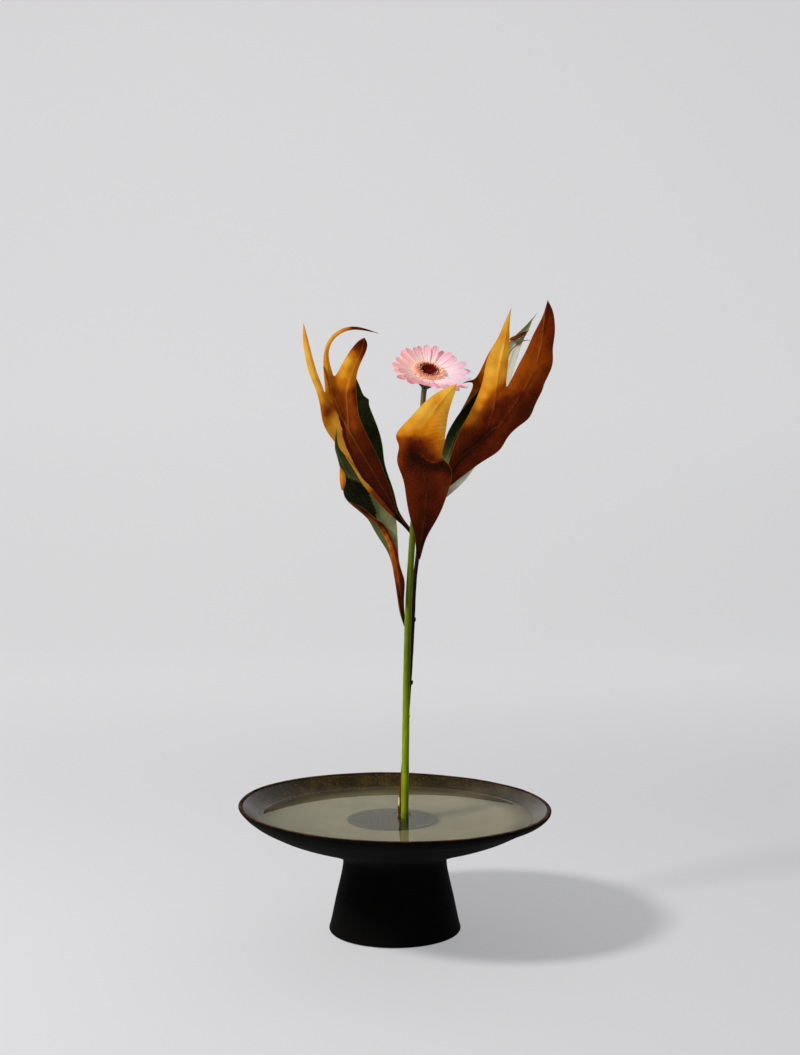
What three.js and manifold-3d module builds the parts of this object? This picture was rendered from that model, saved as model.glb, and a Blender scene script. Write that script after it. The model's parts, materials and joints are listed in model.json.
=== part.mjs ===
// Ikebana arrangement: one pink gerbera and a branch of copper-backed leaves, held by a pin holder that
// stands in the water of a stoneware pedestal dish.
// Millimetres. +Z is up, the front looks along -Y, and the origin is the middle of the foot.

import * as THREE from 'three';
import { mergeVertices } from 'three/addons/utils/BufferGeometryUtils.js';
import Module from 'manifold-3d';

// ---- Driving dimensions ----------------------------------------------------------------------------------

const FIT_GAP = 0.3; // between two pieces that touch

const RIM_RADIUS = 130;
const RIM_HEIGHT = 105.4;
const RIM_DIP = 2.3; // the thrown rim runs this much low on the right and high on the left
const DISH_FLOOR = 76;
const DISH_FLAT_RADIUS = 64;
const FOOT_RADIUS = 55;
const FOOT_INSIDE_RADIUS = 49;
const BOWL_SEGMENTS = 48;

const WATER_LEVEL = 95;
const WATER_RADIUS = 113.3;

const KENZAN_CENTRE = [-2.6, 5];
const KENZAN_RADIUS = 37.5;
const KENZAN_BASE_HEIGHT = 5;
const NEEDLE_BED_RADIUS = 34;
const NEEDLE_BED_HEIGHT = 0.6;
const NEEDLE_LENGTH = 6.8;
const NEEDLE_RADIUS = 0.7;
const NEEDLE_SPACING = 5;

const STEM_FOOT = [8.2, 5];
const STEM_RADIUS_FOOT = 3.2;
const STEM_RADIUS_NECK = 2.2;
const BRANCH_FOOT = [3.9, 12];
const BRANCH_RADIUS_FOOT = 2.1;
const BRANCH_RADIUS_TOP = 1.6;

const HEAD_CENTRE = [27.8, 17, 464];
const HEAD_AXIS = [0.19, -0.58, 0.79]; // the flower looks up and to the front
const CALYX_LENGTH = 13.5;
const DISC_RADIUS = 7.3;
const RING_RADIUS = 14.4;
const PETALS_A_WHORL = 20;
const RIGHT_STRETCH = 0.16; // the petals to the right are longer by this share
const LEFT_STRETCH = -0.05;
const BACK_STRETCH = 0.07;
const FRONT_STRETCH = -0.1;
const FRONT_ANGLE = 268; // a petal's angle is 0 degrees to the right and 270 to the front
const FRONT_SPREAD = 40;
const PETAL_DROOP = 1.6;
const FRONT_RISE = 9; // the tips of the petals at the front curve up by this much more
const PETAL_THICKNESS = 0.6;

const LEAF_THICKNESS = 0.8;
// The arrangement is composed for one viewpoint in front of it. A leaf's outline is given as seen from
// there, in the middle plane (x, z), and each row of it is then moved along its line of sight to its depth.
const VIEWPOINT = new THREE.Vector3(4.2, -1296, 395);

const BED_TOP = DISH_FLOOR + KENZAN_BASE_HEIGHT + NEEDLE_BED_HEIGHT + 2 * FIT_GAP;
const FOOT_OF_STEMS = BED_TOP + FIT_GAP;

// ---- Materials -------------------------------------------------------------------------------------------

function finish(color, roughness, metalness = 0) {
  return new THREE.MeshStandardMaterial({ color, roughness, metalness });
}

const STONEWARE = finish('#0f0c09', 0.85);
const WATER = finish('#8c8978', 0.05);
const LEAD = finish('#4a4b47', 0.5, 0.8);
const BRASS = finish('#a8893f', 0.35, 0.9);
const GREEN_STEM = finish('#7c9a0c', 0.5);
const BARK = finish('#1f0b08', 0.8);
const CALYX_GREEN = finish('#2c3a1c', 0.6);
const DISC_MAROON = finish('#320508', 0.8);
const RING_PEACH = finish('#f2aa76', 0.7);
const PETAL_PINK = finish('#f5a6bd', 0.6);
const COPPER_LEAF = finish('#9a5a1a', 0.5);
const GREEN_LEAF = finish('#27301a', 0.45);
const PALE_LEAF = finish('#9fb08e', 0.55);

// ---- Helpers ---------------------------------------------------------------------------------------------

const wasm = await Module();
wasm.setup();

const arrangement = new THREE.Group();

function addPiece(name, geometry, material, parent = arrangement) {
  const mesh = new THREE.Mesh(geometry, material);
  mesh.name = name;
  parent.add(mesh);
  return mesh;
}

function closedSolid(geometry) {
  const bare = geometry.clone();
  bare.deleteAttribute('normal');
  bare.deleteAttribute('uv');
  const merged = mergeVertices(bare, 1e-3);
  return new wasm.Manifold(new wasm.Mesh({
    numProp: 3,
    vertProperties: merged.attributes.position.array,
    triVerts: new Uint32Array(merged.index.array),
  }));
}

function geometryOf(solid) {
  const { vertProperties, triVerts } = solid.getMesh();
  const geometry = new THREE.BufferGeometry();
  geometry.setAttribute('position', new THREE.BufferAttribute(vertProperties, 3));
  geometry.setIndex(new THREE.BufferAttribute(triVerts, 1));
  return geometry;
}

// A lathe turns about Y, so its solid is stood up on Z.
function turned(profile, segments) {
  const points = profile.map(([radius, height]) => new THREE.Vector2(radius, height));
  return new THREE.LatheGeometry(points, segments).rotateX(Math.PI / 2);
}

function upright(radius, bottom, top, [x, y], segments) {
  const geometry = new THREE.CylinderGeometry(radius, radius, top - bottom, segments).rotateX(Math.PI / 2);
  return geometry.translate(x, y, (bottom + top) / 2);
}

// A round rod that tapers from one end of a curve to the other.
function taperedRod(curve, radiusStart, radiusEnd, sides, steps) {
  const rod = new THREE.CylinderGeometry(radiusEnd, radiusStart, 1, sides, steps);
  const frames = curve.computeFrenetFrames(steps, false);
  const position = rod.attributes.position;
  for (let i = 0; i < position.count; i++) {
    const along = position.getY(i) + 0.5;
    const step = Math.round(along * steps);
    const point = curve.getPointAt(along)
      .addScaledVector(frames.normals[step], -position.getX(i))
      .addScaledVector(frames.binormals[step], position.getZ(i));
    position.setXYZ(i, point.x, point.y, point.z);
  }
  return rod;
}

// A thin closed solid on both sides of a sheet of triangles, with a wall along the sheet's edge.
function thickened(points, triangles, thickness) {
  const normals = points.map(() => new THREE.Vector3());
  const edges = new Set();
  for (const [a, b, c] of triangles) {
    const normal = new THREE.Triangle(points[a], points[b], points[c]).getNormal(new THREE.Vector3());
    for (const [from, to] of [[a, b], [b, c], [c, a]]) {
      normals[from].add(normal);
      edges.add(`${from} ${to}`);
    }
  }
  const half = thickness / 2;
  const front = points.map((p, i) => p.clone().addScaledVector(normals[i].normalize(), half));
  const back = points.map((p, i) => p.clone().addScaledVector(normals[i], -half));
  const count = points.length;
  const faces = triangles.flatMap(([a, b, c]) => [a, b, c, c + count, b + count, a + count]);
  for (const [a, b, c] of triangles) {
    for (const [from, to] of [[a, b], [b, c], [c, a]]) {
      if (!edges.has(`${to} ${from}`)) {
        faces.push(to, from, from + count, to, from + count, to + count);
      }
    }
  }
  const geometry = new THREE.BufferGeometry().setFromPoints([...front, ...back]);
  return geometry.setIndex(faces);
}

// ---- The pedestal bowl and its water ---------------------------------------------------------------------

const DISH_INSIDE = [
  [0, DISH_FLOOR], [DISH_FLAT_RADIUS, DISH_FLOOR], [70, 77], [80, 80], [90, 83.8], [100, 88], [106, 91],
  [WATER_RADIUS, WATER_LEVEL], [120, 99], [126.4, 104],
];
const DISH_OUTSIDE = [
  [127.8, RIM_HEIGHT], [129.4, 105], [RIM_RADIUS, 103.8], [129.8, 102.4], [125, 97.5], [120, 94.6],
  [110, 89], [100, 83.8], [90, 79.8], [80, 76.4], [70, 73.2], [60, 69.4], [50, 65.2], [44.5, 62.6],
];
const FOOT_OUTSIDE = [
  [43.2, 60.4], [43.6, 52.5], [46, 41], [48.6, 30.5], [50.8, 20], [52.9, 9.5], [FOOT_RADIUS - 0.4, 3.6],
  [FOOT_RADIUS, 2], [FOOT_RADIUS - 0.6, 0.6], [FOOT_RADIUS - 2, 0],
];
const FOOT_INSIDE = [
  [FOOT_INSIDE_RADIUS, 0], [47.4, 2], [45.2, 19], [41.6, 36], [38, 53], [33, 62], [20, 67.5], [0, 69],
];

// The rim of the hand-thrown dish isn't quite level.
function dipRim(geometry) {
  const position = geometry.attributes.position;
  for (let i = 0; i < position.count; i++) {
    const radius = Math.hypot(position.getX(i), position.getY(i));
    if (radius > WATER_RADIUS) {
      const reach = THREE.MathUtils.smoothstep(radius, WATER_RADIUS + 1, RIM_RADIUS);
      position.setZ(i, position.getZ(i) - RIM_DIP * reach * position.getX(i) / radius);
    }
  }
  return geometry;
}

function makeBowl() {
  const profile = [...DISH_INSIDE, ...DISH_OUTSIDE, ...FOOT_OUTSIDE, ...FOOT_INSIDE].reverse();
  addPiece('pedestal_bowl', dipRim(turned(profile, BOWL_SEGMENTS)), STONEWARE);
}

// The water lies against the dish and leaves room for the pin holder and both stems.
function makeWater() {
  const wall = DISH_INSIDE.filter(([radius]) => radius > 0 && radius < WATER_RADIUS);
  const bottom = wall.map(([radius, height]) => [radius - FIT_GAP, height + FIT_GAP]);
  const edge = [WATER_RADIUS - 3 * FIT_GAP, WATER_LEVEL];
  const profile = [[0, DISH_FLOOR + FIT_GAP], ...bottom, edge, [0, WATER_LEVEL]];
  const needleTips = BED_TOP + NEEDLE_LENGTH + 2 * FIT_GAP;
  const room = [
    upright(KENZAN_RADIUS + FIT_GAP, DISH_FLOOR - 1, needleTips, KENZAN_CENTRE, 48),
    upright(STEM_RADIUS_FOOT + FIT_GAP, BED_TOP, WATER_LEVEL + 1, STEM_FOOT, 12),
    upright(BRANCH_RADIUS_FOOT + FIT_GAP, BED_TOP, WATER_LEVEL + 1, BRANCH_FOOT, 12),
  ];
  const water = room.reduce(
    (solid, hole) => solid.subtract(closedSolid(hole)),
    closedSolid(turned(profile, BOWL_SEGMENTS)),
  );
  addPiece('water', geometryOf(water), WATER);
}

// ---- The pin holder --------------------------------------------------------------------------------------

function makeKenzan() {
  const baseBottom = DISH_FLOOR + FIT_GAP;
  const baseTop = baseBottom + KENZAN_BASE_HEIGHT;
  addPiece('kenzan_base', upright(KENZAN_RADIUS, baseBottom, baseTop, KENZAN_CENTRE, 48), LEAD);

  const [middleX, middleY] = KENZAN_CENTRE;
  const bedBottom = baseTop + FIT_GAP;
  const bedTop = bedBottom + NEEDLE_BED_HEIGHT;
  let bed = closedSolid(upright(NEEDLE_BED_RADIUS, bedBottom, bedTop, KENZAN_CENTRE, 36));
  const rowSpacing = NEEDLE_SPACING * Math.sqrt(3) / 2;
  const rows = Math.floor((NEEDLE_BED_RADIUS - 1) / rowSpacing);
  for (let row = -rows; row <= rows; row++) {
    const y = row * rowSpacing;
    const reach = Math.sqrt((NEEDLE_BED_RADIUS - 1) ** 2 - y * y);
    const shift = row % 2 ? NEEDLE_SPACING / 2 : 0;
    const first = Math.ceil((-reach - shift) / NEEDLE_SPACING);
    const last = Math.floor((reach - shift) / NEEDLE_SPACING);
    for (let n = first; n <= last; n++) {
      const place = [middleX + n * NEEDLE_SPACING + shift, middleY + y];
      if (!underStem(place)) {
        bed = bed.add(closedSolid(needle(place, bedBottom)));
      }
    }
  }
  addPiece('kenzan_needles', geometryOf(bed), BRASS);
}

function needle([x, y], bottom) {
  const length = NEEDLE_LENGTH + NEEDLE_BED_HEIGHT / 2;
  const cone = new THREE.ConeGeometry(NEEDLE_RADIUS, length, 5).rotateX(Math.PI / 2);
  return cone.translate(x, y, bottom + NEEDLE_BED_HEIGHT / 2 + length / 2);
}

// The needles that the stems are pushed down on are inside the stems, so they are left out.
function underStem([x, y]) {
  const clear = NEEDLE_RADIUS + FIT_GAP;
  const byStem = Math.hypot(x - STEM_FOOT[0], y - STEM_FOOT[1]) < STEM_RADIUS_FOOT + clear;
  const byBranch = Math.hypot(x - BRANCH_FOOT[0], y - BRANCH_FOOT[1]) < BRANCH_RADIUS_FOOT + clear;
  return byStem || byBranch;
}

// ---- The gerbera -----------------------------------------------------------------------------------------

const headAxis = new THREE.Vector3(...HEAD_AXIS).normalize();
const headCentre = new THREE.Vector3(...HEAD_CENTRE);

function makeGerberaStem() {
  const neck = headCentre.clone().addScaledVector(headAxis, -(CALYX_LENGTH + 2.2 + FIT_GAP));
  const below = neck.clone().addScaledVector(headAxis, -4);
  const curve = new THREE.CatmullRomCurve3([
    new THREE.Vector3(...STEM_FOOT, FOOT_OF_STEMS),
    new THREE.Vector3(...STEM_FOOT, 99),
    new THREE.Vector3(9.1, 10, 165),
    new THREE.Vector3(9.9, 14.4, 220),
    new THREE.Vector3(11.3, 18.4, 270),
    new THREE.Vector3(13.5, 21.2, 309),
    new THREE.Vector3(15.9, 23.2, 345),
    new THREE.Vector3(20.6, 25, 400),
    new THREE.Vector3(23, 26, 430),
    below,
    neck,
  ], false, 'centripetal');
  addPiece('gerbera_stem', taperedRod(curve, STEM_RADIUS_FOOT, STEM_RADIUS_NECK, 12, 40), GREEN_STEM);
}

// One petal lies along +X from its claw, rises a little, and is channelled along its middle.
function petalGeometry({ claw, reach, width, lift, height, rise }) {
  const lengthAt = [0, 0.15, 0.4, 0.65, 0.85, 1];
  const widthAt = [0.27, 0.46, 0.76, 0.97, 0.9, 0.45];
  const points = [];
  const triangles = [];
  lengthAt.forEach((along, row) => {
    const x = claw + along * (reach - claw);
    const z = height + (x - claw) * Math.tan(lift) + (rise - PETAL_DROOP) * along ** 3;
    const half = widthAt[row] * width / 2;
    const channel = 0.14 * half;
    const notch = along === 1 ? 0.9 : 0;
    points.push(
      new THREE.Vector3(x, half, z + channel),
      new THREE.Vector3(x - notch, 0, z),
      new THREE.Vector3(x, -half, z + channel),
    );
    if (row > 0) {
      const now = row * 3;
      const last = now - 3;
      for (const side of [0, 1]) {
        triangles.push([last + side, last + side + 1, now + side + 1]);
        triangles.push([last + side, now + side + 1, now + side]);
      }
    }
  });
  return thickened(points, triangles, PETAL_THICKNESS);
}

function makePetals(head) {
  const whorls = [
    { name: 'outer_petal', claw: 9, reach: 33.6, width: 6.9, lift: 0.12, height: -1.2, turn: 0 },
    { name: 'inner_petal', claw: 8.6, reach: 31, width: 6.6, lift: 0.2, height: 0, turn: 0.5 },
  ];
  for (const whorl of whorls) {
    for (let n = 0; n < PETALS_A_WHORL; n++) {
      const angle = 2 * Math.PI * (n + whorl.turn) / PETALS_A_WHORL;
      const sideways = Math.cos(angle) ** 2 * (Math.cos(angle) > 0 ? RIGHT_STRETCH : LEFT_STRETCH);
      const lengthways = Math.sin(angle) ** 2 * (Math.sin(angle) > 0 ? BACK_STRETCH : FRONT_STRETCH);
      const fromFront = (THREE.MathUtils.radToDeg(angle) - FRONT_ANGLE) / FRONT_SPREAD;
      const geometry = petalGeometry({
        ...whorl,
        reach: whorl.claw + (whorl.reach - whorl.claw) * (1 + sideways + lengthways),
        rise: FRONT_RISE * Math.exp(-(fromFront ** 2)),
      });
      const petal = addPiece(`${whorl.name}_${String(n + 1).padStart(2, '0')}`, geometry, PETAL_PINK, head);
      petal.rotation.z = angle;
    }
  }
}

function makeGerberaHead() {
  const head = new THREE.Group();
  head.position.copy(headCentre);
  head.quaternion.setFromUnitVectors(new THREE.Vector3(0, 0, 1), headAxis);
  arrangement.add(head);

  const base = -CALYX_LENGTH - 2.2;
  const calyx = [
    [0, base], [STEM_RADIUS_NECK + 0.2, base], [4.6, base + 1.6], [6.6, base + 5], [7.6, base + 9],
    [9.2, base + 12.4], [9.6, -2.2], [0, -2.2],
  ];
  addPiece('gerbera_calyx', turned(calyx, 20), CALYX_GREEN, head);

  const disc = [[0, -0.9], [3, -0.9], [5.2, 0.4], [DISC_RADIUS, 1.4], [6.6, 2.7], [3.6, 3.5], [0, 3.2]];
  addPiece('gerbera_disc', turned(disc, 20), DISC_MAROON, head);

  const inner = DISC_RADIUS + FIT_GAP;
  const ring = [
    [inner, 1.5], [10.6, 1.6], [RING_RADIUS - 0.6, 2.2], [RING_RADIUS, 3.2], [12, 3.9], [9, 3.7],
    [inner, 2.8], [inner, 1.5],
  ];
  addPiece('trans_floret_ring', turned(ring, 32), RING_PEACH, head);

  makePetals(head);
}

// ---- The branch ------------------------------------------------------------------------------------------

const BRANCH_COURSE = [
  [...BRANCH_FOOT, FOOT_OF_STEMS], [...BRANCH_FOOT, 99], [5.8, 15.4, 122], [8.2, 20.4, 154], [11, 25.2, 188],
  [13.4, 28.8, 222], [15, 30.8, 256], [16.4, 30.8, 290], [19, 28.6, 309], [20.6, 31, 330], [21.6, 33.2, 352],
  [22.2, 34.6, 372],
];
const BUDS = [[16.6, 30.6, 255.5], [14.2, 27.2, 202.5], [11.4, 23.4, 174.2], [4.3, 10.4, 104]];

// A leaf stalk starts inside the branch and points at the foot of its leaf. It ends STALK_GAP short of it.
const STALKS = [
  [[20, 29.8, 322], [17.4, 32.6, 326.4]],
  [[20.8, 31.2, 332], [17.5, 36, 328]],
  [[14.4, 30.1, 244], [10.4, 36.4, 249.6]],
  [[18.3, 29.2, 304], [19.6, 25.6, 309]],
  [[21.4, 32.9, 348], [25.3, 31.6, 353]],
  [[21.7, 33.5, 357], [25.1, 32.4, 362]],
  [[21.3, 32.7, 346], [25.2, 37.6, 352]],
  [[22.1, 34.3, 366], [24.8, 35.4, 371]],
];
const STALK_GAP = 1.9;
const STALK_RADIUS_FOOT = 1.1;
const STALK_RADIUS_TOP = 0.6;

function makeBranch() {
  const course = BRANCH_COURSE.map((place) => new THREE.Vector3(...place));
  const curve = new THREE.CatmullRomCurve3(course, false, 'centripetal');
  const wood = closedSolid(taperedRod(curve, BRANCH_RADIUS_FOOT, BRANCH_RADIUS_TOP, 10, 44));
  const budded = BUDS.reduce((solid, [x, y, z]) => {
    const bud = new THREE.SphereGeometry(1, 6, 5).rotateX(Math.PI / 2).scale(1.1, 1.1, 2.2);
    return solid.add(closedSolid(bud.translate(x, y, z)));
  }, wood);
  const stalked = STALKS.reduce((solid, [foot, leaf]) => {
    const from = new THREE.Vector3(...foot);
    const to = new THREE.Vector3(...leaf);
    to.addScaledVector(to.clone().sub(from).normalize(), -STALK_GAP);
    const stalk = taperedRod(new THREE.LineCurve3(from, to), STALK_RADIUS_FOOT, STALK_RADIUS_TOP, 6, 2);
    return solid.add(closedSolid(stalk));
  }, budded);
  addPiece('leaf_branch', geometryOf(stalked), BARK);
}

// ---- The leaves ------------------------------------------------------------------------------------------

// A leaf's palm is a list of rows from the petiole up. A row is its depth, then points from the left margin
// to the right, with a point on each line between two lobes where there are more than two points.
// A lobe is a list of rows that goes on from the palm's last row, and ends in a single point.
const LEAVES = {
  left_front_leaf: {
    material: COPPER_LEAF,
    belly: 0.1,
    palm: [
      [32.6, [16.8, 325.4], [18, 327.4]],
      [31, [8.4, 335.2], [9.6, 337.2]],
      [28, [4.2, 339.2], [5.6, 342]],
      [25, [0.8, 342], [1.8, 347]],
      [20.5, [-4, 346.2], [0.4, 353]],
      [15, [-11, 352.8], [-2.4, 362]],
      [9, [-20, 363], [-5.4, 372]],
      [4, [-28, 372.6], [-9.4, 383]],
      [-2, [-37, 389], [-13, 392]],
      [-8, [-45, 401], [-19, 404]],
      [-13, [-54, 411], [-25, 416]],
      [-17, [-60, 422], [-54, 424], [-42, 428], [-30, 427]],
      [-20, [-61, 434], [-56, 435], [-46, 443], [-31, 437]],
      [-23, [-63, 443], [-57, 444], [-50, 458], [-32, 450]],
    ],
    lobes: [
      [
        [-24, [-66, 452], [-59.5, 452]],
        [-25.5, [-71, 463], [-63.5, 461]],
        [-26, [-73.5, 476], [-67, 473]],
        [-26, [-76, 489], [-70.5, 487]],
        [-24, [-74, 503]],
      ],
      [
        [-24, [-57.6, 454], [-51.5, 463]],
        [-25, [-59, 466], [-53.5, 470]],
        [-26, [-59, 477], [-55, 478]],
        [-27, [-56, 489], [-53, 487]],
        [-27, [-48, 497.5], [-46.5, 494.5]],
        [-25, [-37, 501.5], [-37, 498.5]],
        [-22, [-26, 500], [-26.5, 498]],
        [-19, [-13, 495]],
      ],
      [
        [-22, [-45, 467], [-32, 460]],
        [-21.5, [-39, 478], [-29, 470]],
        [-20, [-33, 486], [-23.5, 480]],
        [-17, [-29, 490], [-22, 487]],
        [-16, [-25, 491.6]],
      ],
    ],
  },
  left_back_leaf: {
    material: GREEN_LEAF,
    belly: -0.12,
    palm: [
      [36, [16.8, 327], [18.2, 329]],
      [35.4, [8.4, 336], [9.8, 338.4]],
      [33.8, [3, 343.6], [4.6, 346.4]],
      [31.4, [-0.6, 348.6], [1.8, 352.6]],
      [29, [-6, 358], [-0.2, 364]],
      [26, [-14, 369], [-4.6, 376]],
      [22, [-24, 383], [-9.2, 389]],
      [18, [-32, 398], [-9.6, 402]],
      [14, [-41, 415], [-13, 416]],
      [11, [-45, 430], [-19, 430]],
      [9, [-46, 445], [-24, 444]],
      [9, [-43, 458], [-30, 456]],
    ],
    lobes: [[[10, [-37, 470]]]],
  },
  left_low_leaf: {
    material: GREEN_LEAF,
    belly: 0.14,
    palm: [
      [36.4, [9.6, 248.6], [11.2, 250.6]],
      [34.4, [6.4, 256.4], [8, 259.4]],
      [32.6, [4.2, 266], [7, 268.4]],
      [31, [2, 278], [6.6, 279]],
      [29.6, [0, 291], [7, 291]],
      [28.4, [-2, 303], [6.6, 303]],
      [28, [-6, 317], [4, 316]],
      [27.6, [-13, 326], [3, 325]],
      [27.4, [-20, 337], [2, 335]],
      [25, [-28, 350], [-1, 348]],
      [21, [-39, 358], [-8, 359]],
      [16, [-43, 368], [-18, 371]],
      [10, [-44, 380], [-29, 384]],
      [4, [-46.4, 389], [-38.6, 392.6]],
      [-3, [-48, 395.5], [-43.4, 398]],
      [-13.4, [-50.4, 402], [-48, 403.6]],
    ],
    lobes: [[[-25, [-48, 418]]]],
  },
  centre_front_leaf: {
    material: COPPER_LEAF,
    belly: 0.1,
    palm: [
      [25.6, [18.4, 309], [20.8, 309]],
      [22, [17.4, 319], [23, 318]],
      [18, [16.6, 328], [25.6, 327]],
      [13, [14, 338], [31, 336]],
      [8, [11, 349], [38, 348]],
      [2, [9, 362], [43, 362]],
      [-4, [7.6, 374], [46.6, 374]],
      [-10, [1, 388], [45.6, 385]],
      [-14, [3, 398], [38.6, 394]],
      [-17, [0, 411], [40.4, 408]],
      [-17.5, [7, 422], [42, 424]],
      [-17.5, [20, 432], [43.6, 434]],
      [-17, [28, 442], [47, 441]],
      [-15.5, [39, 449.6], [49.4, 447.6]],
    ],
    lobes: [[[-13, [51, 453.6]]]],
  },
  right_front_leaf: {
    material: COPPER_LEAF,
    belly: 0.1,
    palm: [
      [31.6, [24.6, 354], [26, 352]],
      [23, [33, 363.6], [35, 360]],
      [15, [39.6, 374.6], [45, 369.4]],
      [8, [44.4, 388], [60, 381]],
      [4, [47, 399], [73, 391]],
      [0, [51.6, 411], [86, 400]],
      [-4, [59.6, 426], [98, 416.6]],
      [-8, [67, 441], [86, 436], [111, 430]],
      [-11, [73, 457], [91, 449], [119.4, 447]],
    ],
    lobes: [
      [
        [-13, [74, 468], [92, 461]],
        [-15, [78, 481], [93.4, 473]],
        [-16, [85, 491], [94.6, 486]],
        [-16, [89, 503], [94, 501]],
        [-14, [95.4, 514]],
      ],
      [
        [-11, [96, 458], [126, 461]],
        [-11, [102.4, 471], [129, 471]],
        [-10, [108, 481], [127.4, 480]],
        [-8, [113, 493], [130, 493]],
        [-6, [118, 503], [129.6, 503]],
        [-4, [122, 509], [128.6, 513]],
        [-2, [124.6, 522]],
      ],
    ],
  },
  right_inner_leaf: {
    material: GREEN_LEAF,
    belly: -0.1,
    palm: [
      [32.4, [24.4, 363], [25.8, 361]],
      [24, [31, 374.6], [34, 371.6]],
      [18, [38, 390], [46, 385]],
      [14, [40.4, 405], [54, 399]],
      [11, [44, 416], [61, 411]],
      [8.6, [53, 430], [69, 424]],
      [6.6, [63, 442], [75, 438]],
    ],
    lobes: [[[5, [76, 457]]]],
  },
  right_back_leaf: {
    material: PALE_LEAF,
    belly: -0.12,
    palm: [
      [37.6, [24.6, 353], [25.8, 350.8]],
      [38.4, [33, 359.6], [35.6, 354.6]],
      [38.4, [38, 369], [48, 365]],
      [38, [42, 381], [57.4, 373]],
      [37, [48, 395], [67, 387]],
      [36, [56, 412], [78, 404]],
      [35, [66, 430], [88, 422]],
      [34, [75, 447], [92, 442]],
      [33, [82, 461], [96, 459]],
      [32, [88, 476], [101, 474]],
      [31, [94, 488], [106, 488]],
      [30, [101.6, 496], [109.8, 497.4]],
      [29, [108.2, 502], [111.8, 503]],
      [28.6, [112.2, 506.6], [113.6, 507.4]],
    ],
    lobes: [[[28, [118, 513]]]],
  },
  right_side_leaf: {
    material: COPPER_LEAF,
    belly: 0.08,
    palm: [
      [35.4, [24, 372], [25.6, 370]],
      [31, [30, 386], [33, 383.6]],
      [27, [38, 402], [45, 398]],
      [24, [46, 417], [57, 412]],
      [21, [54, 431], [66, 426]],
      [18, [60.6, 443], [73, 438]],
      [15, [65.8, 454.6], [67.2, 457.4], [80, 452]],
    ],
    lobes: [
      [
        [10, [61.4, 455.3], [61.7, 456.7]],
        [5, [58.6, 454.8], [58.8, 456]],
        [1, [55.4, 454]],
      ],
      [
        [13.4, [74, 473], [83, 468]],
        [12.4, [77.6, 480], [85, 478]],
        [12, [82, 487]],
      ],
    ],
  },
};

function alongSight([x, z], depth) {
  const onMiddlePlane = new THREE.Vector3(x, 0, z);
  const share = (depth - VIEWPOINT.y) / -VIEWPOINT.y;
  return onMiddlePlane.sub(VIEWPOINT).multiplyScalar(share).add(VIEWPOINT);
}

// A row's vertices: two cells a lobe, whose middles stand forward by the belly's share of the lobe's width.
function rowAcross([depth, ...outline], lobeCount, belly) {
  const given = outline.map((point) => alongSight(point, depth));
  if (given.length === 1) {
    return given;
  }
  const lines = given.length === lobeCount + 1
    ? given
    : Array.from({ length: lobeCount + 1 }, (_, n) => given[0].clone().lerp(given.at(-1), n / lobeCount));
  return lines.flatMap((line, n) => {
    if (n === lobeCount) {
      return [line];
    }
    const middle = line.clone().lerp(lines[n + 1], 0.5);
    middle.y -= belly * line.distanceTo(lines[n + 1]);
    return [line, middle];
  });
}

function leafGeometry({ palm, lobes, belly }) {
  const points = [];
  const triangles = [];
  const addRow = (row) => row.map((point) => points.push(point) - 1);
  const join = (low, high) => {
    for (let n = 1; n < low.length; n++) {
      if (high.length === 1) {
        triangles.push([low[n - 1], low[n], high[0]]);
      } else {
        triangles.push([low[n - 1], low[n], high[n]], [low[n - 1], high[n], high[n - 1]]);
      }
    }
  };
  const palmRows = palm.map((row) => addRow(rowAcross(row, lobes.length, belly)));
  palmRows.slice(1).forEach((row, n) => join(palmRows[n], row));
  lobes.forEach((lobe, n) => {
    let last = palmRows.at(-1).slice(2 * n, 2 * n + 3);
    for (const row of lobe) {
      const next = addRow(rowAcross(row, 1, belly));
      join(last, next);
      last = next;
    }
  });
  return thickened(points, triangles, LEAF_THICKNESS);
}

function makeLeaves() {
  for (const [name, leaf] of Object.entries(LEAVES)) {
    addPiece(name, leafGeometry(leaf), leaf.material);
  }
}

// ---- The whole arrangement -------------------------------------------------------------------------------

makeBowl();
makeWater();
makeKenzan();
makeGerberaStem();
makeGerberaHead();
makeBranch();
makeLeaves();

export default arrangement;
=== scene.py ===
import json
import math
import random

import bmesh
import bpy
import numpy as np
from mathutils import Matrix, Vector, noise


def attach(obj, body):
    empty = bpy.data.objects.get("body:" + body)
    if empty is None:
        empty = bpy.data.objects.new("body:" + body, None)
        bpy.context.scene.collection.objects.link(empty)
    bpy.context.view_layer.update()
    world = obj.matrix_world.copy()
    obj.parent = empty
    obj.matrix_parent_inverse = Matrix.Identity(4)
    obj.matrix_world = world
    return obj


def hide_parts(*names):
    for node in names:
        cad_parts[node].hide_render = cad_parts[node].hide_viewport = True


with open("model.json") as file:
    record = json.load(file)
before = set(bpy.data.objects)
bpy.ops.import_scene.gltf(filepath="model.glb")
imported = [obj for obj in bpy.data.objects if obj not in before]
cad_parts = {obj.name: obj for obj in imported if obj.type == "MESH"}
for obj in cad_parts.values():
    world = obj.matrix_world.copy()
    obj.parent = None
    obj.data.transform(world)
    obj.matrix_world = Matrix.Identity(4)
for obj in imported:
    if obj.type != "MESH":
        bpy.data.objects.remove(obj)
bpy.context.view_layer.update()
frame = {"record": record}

# An ikebana arrangement: a gerbera and a branch of copper-backed leaves on a pin holder in a pedestal dish.
# Tables are in millimetres, +Z up, with the front of the arrangement towards -Y.

MM = 0.001
random.seed(41)

# ---- Driving dimensions ----------------------------------

RIM_RADIUS = 130
RIM_DIP = 2.3
DISH_FLOOR = 76
WATER_LEVEL = 95
WATER_RADIUS = 113.3

KENZAN_CENTRE = (-2.6, 5)
KENZAN_RADIUS = 37.5
NEEDLE_BED_RADIUS = 34
NEEDLE_SPACING = 5
STEM_FOOT = (8.2, 5)
BRANCH_FOOT = (3.9, 12)

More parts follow.
